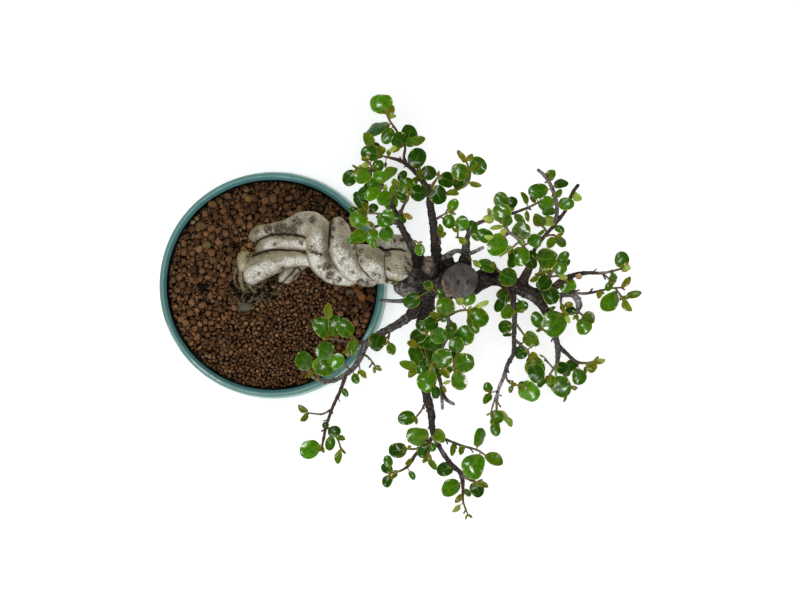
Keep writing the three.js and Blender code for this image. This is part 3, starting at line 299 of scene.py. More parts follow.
class Wiring:
    """A node tree being wired. Each call adds a node and gives back one of its outputs; a value is a
    number, a colour or another node's output."""

    def __init__(self, tree):
        self.tree = tree

    def node(self, kind, inputs, output=0, **settings):
        made = self.tree.nodes.new(kind)
        for key, value in settings.items():
            setattr(made, key, value)
        for key, value in inputs.items():
            feed(self.tree, made.inputs[key], value)
        return Signal(self, made.outputs[output])

    def math(self, operation, first, second=0.0):
        return self.node("ShaderNodeMath", {0: first, 1: second}, operation=operation)

    def most(self, first, *others):
        for other in others:
            first = self.math("MAXIMUM", first, other)
        return first

    def mix(self, share, first, second, blend="MIX"):
        inputs = {0: share, 6: first, 7: second}
        return self.node("ShaderNodeMix", inputs, 2, data_type="RGBA", blend_type=blend)

    def dimmed(self, colour, shade):
        grey = self.node("ShaderNodeCombineXYZ", {0: shade, 1: shade, 2: shade})
        return self.mix(1.0, colour, grey, "MULTIPLY")

    def between(self, value, low, high, to_low=0.0, to_high=1.0):
        inputs = {0: value, 1: low, 2: high, 3: to_low, 4: to_high}
        return self.node("ShaderNodeMapRange", inputs, interpolation_type="SMOOTHSTEP")

    def noise(self, where, scale, detail=3.0, roughness=0.5, distortion=0.0):
        inputs = {"Vector": where, "Scale": scale, "Detail": detail, "Roughness": roughness,
                  "Distortion": distortion}
        return self.node("ShaderNodeTexNoise", inputs)

    def effect(self, group, where, **inputs):
        """An effect placed with values of its own."""
        return self.node("ShaderNodeGroup", {"Where": where, **inputs}, node_tree=group)

    def value(self, name):
        return self.node("ShaderNodeAttribute", {}, 2, attribute_name=name)

    def vector(self, name):
        return self.node("ShaderNodeAttribute", {}, 1, attribute_name=name)

    def apart(self, vector):
        made = self.node("ShaderNodeSeparateXYZ", {0: vector}).socket.node
        return [Signal(self, output) for output in made.outputs]

    def spot(self):
        """Place on the piece, in metres."""
        return self.node("ShaderNodeTexCoord", {}, 3)

    def bump(self, height, strength, distance):
        inputs = {"Height": height, "Strength": strength, "Distance": distance}
        return self.node("ShaderNodeBump", inputs)


def new_effect(name, wire, *numbers):
    """A node group that takes a place and the named numbers: wire(wiring, place, numbers) gives the
    value that it puts out."""
    group = bpy.data.node_groups.new(name, "ShaderNodeTree")
    group.interface.new_socket("Where", in_out="INPUT", socket_type="NodeSocketVector")
    for label in numbers:
        group.interface.new_socket(label, in_out="INPUT", socket_type="NodeSocketFloat")
    group.interface.new_socket("Value", in_out="OUTPUT", socket_type="NodeSocketFloat")
    w = Wiring(group)
    start = group.nodes.new("NodeGroupInput").outputs
    end = group.nodes.new("NodeGroupOutput").inputs["Value"]
    feed(group, end, wire(w, *(Signal(w, start[label]) for label in ("Where", *numbers))))
    return group


def new_material(name, **constants):
    """An opaque finish: its Wiring and a function that joins sockets of its Principled shader."""
    material = bpy.data.materials.new(name)
    material.use_nodes = True
    shader = material.node_tree.nodes["Principled BSDF"]

    def join(**sockets):
        for label, value in sockets.items():
            feed(material.node_tree, shader.inputs[label.replace("_", " ")], value)

    join(**constants)
    return material, Wiring(material.node_tree), join


def blotches(w, where, scale, low, high):
    """Soft-edged patches: distorted noise between two thresholds."""
    return w.between(w.noise(where, scale, 4.0, 0.55, 0.4), low, high)


def grit(w, where, scale):
    """Fine relief: coarse noise with a third of a finer one."""
    return w.noise(where, scale, 3.0, 0.6) + w.noise(where, scale * 4.3, 2.0, 0.6) * 0.33


def specks(w, where, scale, size, share):
    """Scattered small spots of uneven size: a cell's middle shows where the cell's own noise is high."""
    warped = w.noise(where, scale * 2.0, 2.0)
    away = w.node("ShaderNodeTexVoronoi", {"Vector": where, "Scale": scale})
    near = away - (warped - 0.5) * 0.5
    shown = w.noise(where, scale * 0.37, 1.0)
    return (1.0 - w.between(near, size * 0.6, size)) * w.between(shown, 0.98 - share, 1.06 - share)


def cracks(w, where, scale, width):
    """Thin wandering lines: where noise passes through its middle value."""
    return 1.0 - w.between(abs(w.noise(where, scale, 3.0, 0.55, 0.6) - 0.5), 0.0, width)


BLOTCHES = new_effect("blotches", blotches, "Scale", "Low", "High")
GRIT = new_effect("grit", grit, "Scale")
SPECKS = new_effect("specks", specks, "Scale", "Size", "Share")
CRACKS = new_effect("cracks", cracks, "Scale", "Width")


def silver_bark():
    """Smooth silver-grey bark: a painted highlight with painted glints of fine pale grain along the tops that
    face the light, fine dark grain, beige and brown hollows, ragged brown stains, painted shade in the
    creases and on sides that face down and back, and some yellow lichen. One value is 1 along the lit
    tops and one is 1 where strands touch; others mark the shaded sides, the stains, which also darken
    undersides as painted shade, and the lichen."""
    material, w, join = new_material("silver bark", Specular_IOR_Level=0.6, Coat_Roughness=0.3)
    skin = w.vector("skin")
    crevice, dirt, lichen, crest = (w.value(name) for name in ("crevice", "dirt", "lichen", "crest"))
    broad = w.noise(skin, 0.16, 4.0, 0.6, 0.6)
    small = w.noise(skin, 0.75, 5.0, 0.68)
    grain = w.noise(skin, 2.1, 4.0, 0.7)
    ragged = w.noise(skin, 0.62, 6.0, 0.85)

    colour = w.mix(w.between(broad, 0.36, 0.6), paint(136, 127, 95), paint(170, 162, 137))
    # Painted highlight along the tops that face the light, with pale patches from the noise
    top = crest * 0.6 + w.between(small, 0.3, 0.7) * 0.45 + (broad - 0.5) * 0.9
    colour = w.mix(w.between(top, 0.45, 0.95), colour, paint(230, 226, 211))
    # Painted glints: fine pale grain, only where the painted highlight falls
    patches = w.between(w.noise(skin, 0.3, 4.0, 0.6), 0.42, 0.58, 0.2, 1.15)
    painted_glints = w.between(grain, 0.53, 0.6) * w.between(crest, 0.1, 0.8, 0.1, 1.0) * patches
    colour = w.mix(painted_glints * 0.85, colour, paint(244, 246, 250))
    colour = w.mix(w.between(grain, 0.5, 0.42) * 0.6, colour, paint(74, 66, 46))
    hollow = w.effect(BLOTCHES, skin, Scale=1.1, Low=0.5, High=0.7)
    colour = w.mix(hollow * w.between(crest, 0.2, 0.9, 0.6, 0.25), colour, paint(92, 86, 68))
    # Painted shade: sides that face down and to the back are tinted tan-brown
    shaded_sides = w.value("shaded_sides") * w.between(small, 0.2, 0.6, 0.7, 1.0)
    tan = w.mix(w.between(small, 0.35, 0.6), paint(112, 94, 64), paint(198, 180, 142))
    colour = w.mix(shaded_sides * 0.8, colour, tan)
    beige = w.between(crevice, 0.1, 0.5) * w.between(small, 0.3, 0.6)
    colour = w.mix(beige * 0.6, colour, paint(152, 130, 86))
    lines = w.effect(CRACKS, skin, Scale=0.4, Width=0.022)
    colour = w.mix(lines * w.between(small, 0.45, 0.62, 0.0, 0.7), colour, paint(66, 56, 44))

    # The stain value also rises on sides that face down, so flakes and brown smear darken undersides: painted
    # shade
    flakes = w.between(dirt * 0.52 + (ragged - 0.5) * 2.3 + (grain - 0.5) * 0.8, 0.34, 0.44)
    spots = w.effect(SPECKS, skin, Scale=0.85, Size=0.15, Share=0.5) * w.between(small, 0.4, 0.5)
    soiled = w.most(flakes, spots)
    smear = w.between(dirt, 0.35, 0.9) * w.between(small, 0.42, 0.62)
    colour = w.mix(smear * 0.5, colour, paint(110, 88, 62))
    soil = w.mix(w.between(grain, 0.42, 0.58), paint(30, 21, 12), paint(88, 70, 50))
    colour = w.mix(soiled * 0.95, colour, soil)
    crusted = w.between(lichen + ragged * 0.9, 0.84, 1.1)
    colour = w.mix(crusted * 0.62, colour, w.mix(small, paint(138, 126, 66), paint(204, 194, 142)))
    # Painted shade: near-black in the creases where strands touch
    crevice_shade = w.between(crevice + small * 0.4, 0.74, 0.98)
    colour = w.mix(crevice_shade * 0.95, colour, paint(24, 17, 10))

    gloss = w.between(w.most(soiled, crevice_shade, crusted, shaded_sides), 0.0, 0.6, 0.35, 0.0)
    rough = w.between(w.most(soiled, crevice_shade, crusted), 0.0, 1.0, 0.28, 0.95) + small * 0.18
    height = small * 0.55 + grain * 0.45 + soiled * 0.3 - lines * 0.35 + crusted * 0.4
    join(Base_Color=colour, Roughness=rough, Coat_Weight=gloss, Normal=w.bump(height, 0.75, 0.0007))
    return material


def dark_bark(name, scale, deep, mid, pale):
    """Rugged bark: ridges lengthwise, grey flakes and brown hollows; `fresh` marks younger brown
    wood up to 1 and yellow shoots up to 2, `weather` grey dead wood, `rosy` pinkish wood and `deep`
    wood in the dark, painted near-black as shade; tops that face up are painted a little paler as highlight."""
    material, w, join = new_material(name, Specular_IOR_Level=0.12)
    skin = w.vector("skin")
    fresh = w.value("fresh")
    ridges = w.noise(skin, scale, 5.0, 0.65, 0.8)
    streaks = w.between(ridges, 0.35, 0.65)
    flakes = w.effect(BLOTCHES, skin, Scale=scale * 1.7, Low=0.52, High=0.68)
    colour = w.mix(w.between(ridges, 0.4, 0.6), paint(*deep), paint(*mid))
    # Painted highlight: tops that face up are a little paler
    colour = w.mix(flakes * 0.72 + w.value("crest") * 0.12, colour, paint(*pale))
    young = w.mix(flakes, paint(84, 62, 50), paint(124, 98, 82))
    colour = w.mix(w.between(fresh, 0.0, 1.0, 0.0, 0.9), colour, young)
    shoot = w.mix(ridges, paint(118, 96, 50), paint(156, 142, 78))
    colour = w.mix(w.between(fresh, 1.0, 2.0, 0.0, 0.75), colour, shoot)
    colour = w.mix(w.value("rosy"), colour, w.mix(streaks, paint(104, 86, 76), paint(172, 154, 142)))
    colour = w.mix(w.value("weather"), colour, w.mix(streaks, paint(92, 88, 82), paint(212, 210, 206)))
    dots = w.effect(SPECKS, skin, Scale=scale * 2.1, Size=0.28, Share=0.5)
    colour = w.mix(dots * 0.45, colour, paint(168, 152, 132))
    lines = w.effect(CRACKS, skin, Scale=scale * 0.8, Width=0.05)
    colour = w.mix(lines * w.between(fresh, 0.0, 1.0, 0.7, 0.3), colour, paint(22, 17, 15))
    # Painted shade: near-black where the wood lies in the dark
    sunk = w.value("deep") * w.between(ridges, 0.3, 0.7, 1.0, 0.72)
    colour = w.mix(sunk * 0.95, colour, paint(7, 6, 4))
    height = ridges + flakes * 0.35 - lines * 0.45
    rough = w.between(flakes, 0.0, 1.0, 0.82, 0.66) - w.between(fresh, 0.0, 1.0, 0.0, 0.22)
    join(Base_Color=colour, Roughness=rough, Normal=w.bump(height, 0.8, 0.0007))
    return material


def leaf_skin():
    """Glossy leaf: midrib and side veins, thin yellow-green edge, dull pale underside. `blade` holds
    the place across (-1 to 1), along (0 to 1) and on which face (1 upper, 0 lower)."""
    material, w, join = new_material("leaf skin", Specular_IOR_Level=0.08, Coat_Roughness=0.15)
    across, along, upper = w.apart(w.vector("blade"))
    side = abs(across)
    spot = w.spot()
    mottle = w.noise(spot, 420.0, 3.0, 0.55)
    fine = w.noise(spot, 2600.0, 2.0, 0.5)
    midrib = (1.0 - w.between(side, 0.01, 0.09)) * w.between(along, 1.0, 0.5)
    waves = w.math("SINE", along * 40.0 - side * 13.0)
    veins = w.between(waves, 0.6, 1.0) * w.between(side, 1.0, 0.3)
    edge = w.most(w.between(side, 0.9, 0.97), w.between(along, 0.965, 0.99))
    under = w.between(upper, 0.56, 0.44)

    colour = w.dimmed(w.vector("tone"), w.between(mottle, 0.25, 0.75, 0.66, 1.3))
    base = w.between(along + side * 0.35, 0.36, 0.02) * 0.75
    colour = w.mix(base, colour, paint(136, 132, 22))
    colour = w.mix(midrib * 0.42, colour, paint(112, 148, 44))
    colour = w.mix(veins * 0.13, colour, paint(20, 60, 8))
    colour = w.mix(edge * w.value("rim"), colour, paint(178, 190, 84))
    outward = w.between(mottle * 0.5 + side * 0.5, 0.4, 0.75)
    colour = w.mix(w.value("blush") * outward, colour, paint(146, 110, 38))
    back = w.mix(mottle, paint(112, 142, 74), paint(164, 186, 124))
    back = w.mix(w.most(midrib, veins) * 0.4, back, paint(190, 204, 150))
    colour = w.mix(under, colour, back)

    rough = w.between(under, 0.0, 1.0, 0.17, 0.6) + mottle * 0.1
    height = mottle * 0.8 + fine * 0.1 - (midrib + veins * 0.5) * 0.5
    feathered = w.between(waves, -0.8, 0.4, 0.4, 1.0) * w.between(mottle, 0.32, 0.46, 0.3, 1.0)
    gloss = w.value("gloss") * feathered * w.between(under, 0.0, 1.0, 1.1, 0.0)
    join(Base_Color=colour, Roughness=rough, Coat_Weight=gloss, Normal=w.bump(height, 0.6, 0.0005))
    return material


def teal_glaze():
    """Thick teal glaze that thins to grey-green on edges, with fine pits, over a bare clay foot.
    `thin` marks edges, `pooled` hollows and `bare` the unglazed foot; pale streaks on the lip are a painted
    reflection."""
    material, w, join = new_material("teal glaze", Specular_IOR_Level=0.3, Coat_Roughness=0.05)
    spot = w.spot()
    bare = w.value("bare")
    drift = w.noise(spot, 55.0, 4.0, 0.6, 1.2)
    cloud = w.effect(BLOTCHES, spot, Scale=240.0, Low=0.35, High=0.7)
    pits = w.effect(SPECKS, spot, Scale=620.0, Size=0.22, Share=0.5)
    grain = w.effect(GRIT, spot, Scale=900.0)
    colour = w.mix(drift, paint(66, 126, 122), paint(104, 158, 152))
    colour = w.mix(cloud * 0.35, colour, paint(58, 106, 102))
    colour = w.mix(w.value("thin") * 0.75, colour, w.mix(cloud, paint(92, 118, 108), paint(114, 138, 127)))
    colour = w.mix(w.value("pooled") * 0.8, colour, paint(46, 96, 106))
    colour = w.mix(pits * 0.55, colour, paint(46, 74, 68))
    # Painted reflection: pale streaks on short arcs of the inner lip
    lip_glints = w.value("lip_glints") * w.between(w.noise(spot, 900.0, 3.0), 0.4, 0.55)
    colour = w.mix(lip_glints * 0.85, colour, paint(222, 234, 232))
    colour = w.mix(bare, colour, w.mix(grain, paint(92, 58, 42), paint(138, 94, 70)))
    rough = w.between(bare, 0.0, 1.0, 0.3, 0.8) + cloud * 0.1
    height = drift * 1.4 - pits * 0.4 + grain * bare * 1.6
    gloss = w.between(bare, 0.0, 1.0, 0.14, 0.0)
    join(Base_Color=colour, Roughness=rough, Coat_Weight=gloss, Normal=w.bump(height, 0.5, 0.0003))
    return material


def baked_clay(name):
    """Dry granules: each has its own `tone`, with dust and pores, and is dim where `shade` is low."""
    material, w, join = new_material(name, Specular_IOR_Level=0.04)
    spot = w.spot()
    grain = w.effect(GRIT, spot, Scale=1300.0)
    dust = w.effect(BLOTCHES, spot, Scale=700.0, Low=0.5, High=0.75)
    pores = w.effect(SPECKS, spot, Scale=1900.0, Size=0.3, Share=0.55)
    colour = w.dimmed(w.vector("tone"), w.between(grain, 0.35, 0.95, 0.62, 1.3))
    colour = w.mix(dust * 0.32, colour, paint(172, 140, 104))
    colour = w.dimmed(colour, w.between(w.value("shade"), 0.0, 1.0, 0.03, 1.02))
    colour = w.mix(pores * 0.6, colour, paint(14, 7, 3))
    rough = w.between(dust, 0.0, 1.0, 0.86, 0.97)
    join(Base_Color=colour, Roughness=rough, Normal=w.bump(grain - pores * 0.5, 0.8, 0.0004))
    return material


def wound_paste():
    """Matt grey-brown paste, spread with a tool: soft streaks, dust and fine grain; the nicks are painted
    dark as shade.
    """
    material, w, join = new_material("wound paste", Specular_IOR_Level=0.25)
    spot = w.spot()
    turned = w.node("ShaderNodeMapping", {0: spot, 2: (0.0, 0.0, 0.9), 3: (1.0, 0.6, 1.0)})
    streaks = w.noise(turned, 420.0, 4.0, 0.6)
    broad = w.noise(spot, 90.0, 3.0)
    colour = w.mix(w.between(streaks * 0.5 + broad * 0.5, 0.36, 0.62), paint(56, 53, 50), paint(98, 94, 90))
    dust = w.effect(SPECKS, spot, Scale=1500.0, Size=0.25, Share=0.5)
    colour = w.mix(dust * 0.35, colour, paint(150, 144, 140))
    # Painted shade in the nicks
    colour = w.mix(w.value("nick") * 0.9, colour, paint(30, 24, 24))
    height = streaks + w.effect(GRIT, spot, Scale=2200.0) * 0.4
    rough = w.between(streaks, 0.0, 1.0, 0.78, 0.95)
    join(Base_Color=colour, Roughness=rough, Normal=w.bump(height, 0.5, 0.0003))
    return material


def mesh_plastic():
    """Black moulded plastic, lightly grained and dusted with clay."""
    material, w, join = new_material("mesh plastic", Specular_IOR_Level=0.4)
    spot = w.spot()
    dust = w.effect(BLOTCHES, spot, Scale=300.0, Low=0.5, High=0.75)
    colour = w.mix(dust * 0.5, paint(30, 30, 33), paint(92, 68, 52))
    rough = w.between(dust, 0.0, 1.0, 0.5, 0.85)
    grain = w.effect(GRIT, spot, Scale=1800.0)
    join(Base_Color=colour, Roughness=rough, Normal=w.bump(grain, 0.4, 0.0002))
    return material


# The trunk's limbs, and the branches: routes of plan points and the radii along them

STRANDS = [
    ([(250, 285, 38), (250, 280, 48), (253, 273, 54), (265, 265.5, 60), (279, 260.5, 67),
      (292, 258.5, 74), (307, 258.7, 79), (320, 261, 82)], (4.6, 5.6, 6.6, 6.4, 5.6, 4.7, 4, 3.6)),
    ([(249, 248, 42), (246, 253.5, 50), (244.5, 262, 54), (246.5, 270, 55), (251, 276, 53)],
     (3, 4, 4.3, 4.2, 3.8)),
    ([(259, 257, 38), (260, 252, 50), (262.5, 248, 58), (268, 243.8, 65), (279, 241, 71),
      (292, 241.5, 77), (306, 243, 82), (316, 245, 85)], (2.4, 2.8, 3.3, 3.9, 3.9, 3.9, 3.8, 3.6)),
    ([(253, 242, 38), (254.5, 237, 50), (258, 233.5, 58), (263.5, 231, 64), (273, 228.5, 69),
      (284, 227, 74.5), (293, 225, 79), (302, 223.5, 83), (311, 225, 87), (317.5, 231, 90),
      (319, 241, 92), (317.5, 251, 92), (320.5, 262, 91), (328.5, 270, 90), (341, 275.5, 90),
      (358, 278, 92)],
     (3.2, 3.6, 3.8, 3.3, 2.9, 3.3, 4.6, 5.8, 6.8, 7.2, 6.5, 5.7, 5.9, 5.8, 5.2, 4.3)),
    ([(338, 223.5, 86), (340, 229, 92), (341, 236, 96), (341, 245, 98), (344, 254, 99),
      (349.5, 263, 98.5), (357, 270.5, 97.5), (367, 275, 97), (380, 275.5, 98)],
     (3.6, 4.5, 5.3, 6.3, 6.9, 6.7, 6.1, 5.8, 5.3)),
    ([(356, 252, 92), (363, 253.5, 97), (370, 257, 101), (375, 263, 103), (380, 270, 102),
      (389, 275, 100)], (3.4, 4.8, 6.4, 6.8, 6.2, 5.4)),
    ([(386, 268, 98), (393, 265.5, 102), (401, 266.5, 105), (408, 270, 104), (412, 274, 102)],
     (6, 7.3, 7.6, 6.4, 4.6)),
    ([(372, 246.5, 94), (388, 243, 97), (403, 244.5, 99), (415, 252, 101)], (3.2, 4.4, 4.6, 4)),
    ([(294, 250, 72), (318, 252, 78), (345, 260, 87), (370, 267, 92), (392, 269, 97), (414, 272, 102)],
     (5, 7, 7.4, 7.6, 7.8, 7)),
    ([(278, 283, 44), (282, 278, 54), (288, 271, 60), (295, 263, 70)], (1.8, 2.1, 2.5, 3)),
    ([(250, 293, 40), (249.5, 287, 48), (249, 279, 56)], (1.5, 1.9, 2.6)),
    ([(243, 289, 40), (243.5, 282, 50), (245.5, 275, 55)], (1.2, 1.7, 2.4)),
    ([(286, 287, 44), (288, 280, 54), (292, 272, 60), (299, 264, 70)], (1.7, 2.2, 2.5, 2.8)),
    ([(292, 284, 44), (294, 277, 54), (298, 269, 62), (304, 263, 72)], (1.5, 2, 2.3, 2.6)),
]

BARK = [
    ([(411, 276, 98), (421, 277, 105), (432, 277, 110), (447, 279, 114)], (6, 7.4, 8.8, 9)),
    ([(438, 281, 104), (452, 281, 112), (460.4, 280.7, 118), (460.4, 280.7, 125)],
     (7.5, 8.6, 8.6, 8.4)),
    ([(396, 287, 98), (405, 288, 101), (417, 287, 104), (430, 287, 107)], (2.4, 4.2, 5.4, 5)),
    ([(431.5, 277, 112), (431, 270, 117.5), (428.5, 262, 120), (426.5, 256, 120)], (3, 4.2, 3.8, 2.2)),
    ([(429, 285, 112), (434, 287.5, 113.5)], (2.4, 1.9)),
    ([(445, 268, 108), (448, 262, 114), (449, 254, 116)], (4, 3.2, 2)),
    ([(446, 292, 108), (450, 297, 112)], (4.6, 2.6)),
    ([(456, 284, 103), (470, 285, 107), (490, 277, 109), (505, 281, 110), (518, 287, 110),
      (533, 295, 109), (541, 304, 108), (547, 314, 107)], (5.5, 5, 4.2, 3.7, 3.6, 3.3, 2.4, 2)),
    ([(478, 281, 109), (486, 276, 113), (492, 273, 116)], (3.8, 3.8, 3.6)),
    ([(521, 288, 109), (524, 279, 112), (529, 269, 115), (533, 258, 118)], (2.8, 2.5, 1.8, 1.5)),
    ([(424, 292, 106), (426, 304, 104), (422, 318, 101)], (5, 4.2, 2.9)),
    ([(426, 292, 105), (419, 306, 103), (408, 318, 100)], (4.6, 4, 3)),
    ([(424, 270, 108), (419, 260, 114), (414, 251, 118.5)], (4, 3.2, 2.5)),
    ([(437, 268, 108), (437, 260, 110.5), (436, 252, 112)], (4.4, 3.4, 3)),
    ([(464, 276, 110), (465, 264, 115), (465.5, 254, 118)], (4, 3.2, 2.6)),
    ([(528, 293, 109), (549, 290, 110), (560, 283, 110.5), (572, 275, 111)], (2, 2.1, 1.8, 1.6)),
    ([(443, 262, 111), (446, 257, 116), (456, 251, 118), (470, 253, 118), (484, 247, 118)],
     (1.6, 1.4, 1.2, 1, 0.8)),
    ([(411, 300, 102), (402, 301, 102), (392, 301, 101), (379, 300, 101)], (1.6, 1.1, 0.9, 0.7)),
]

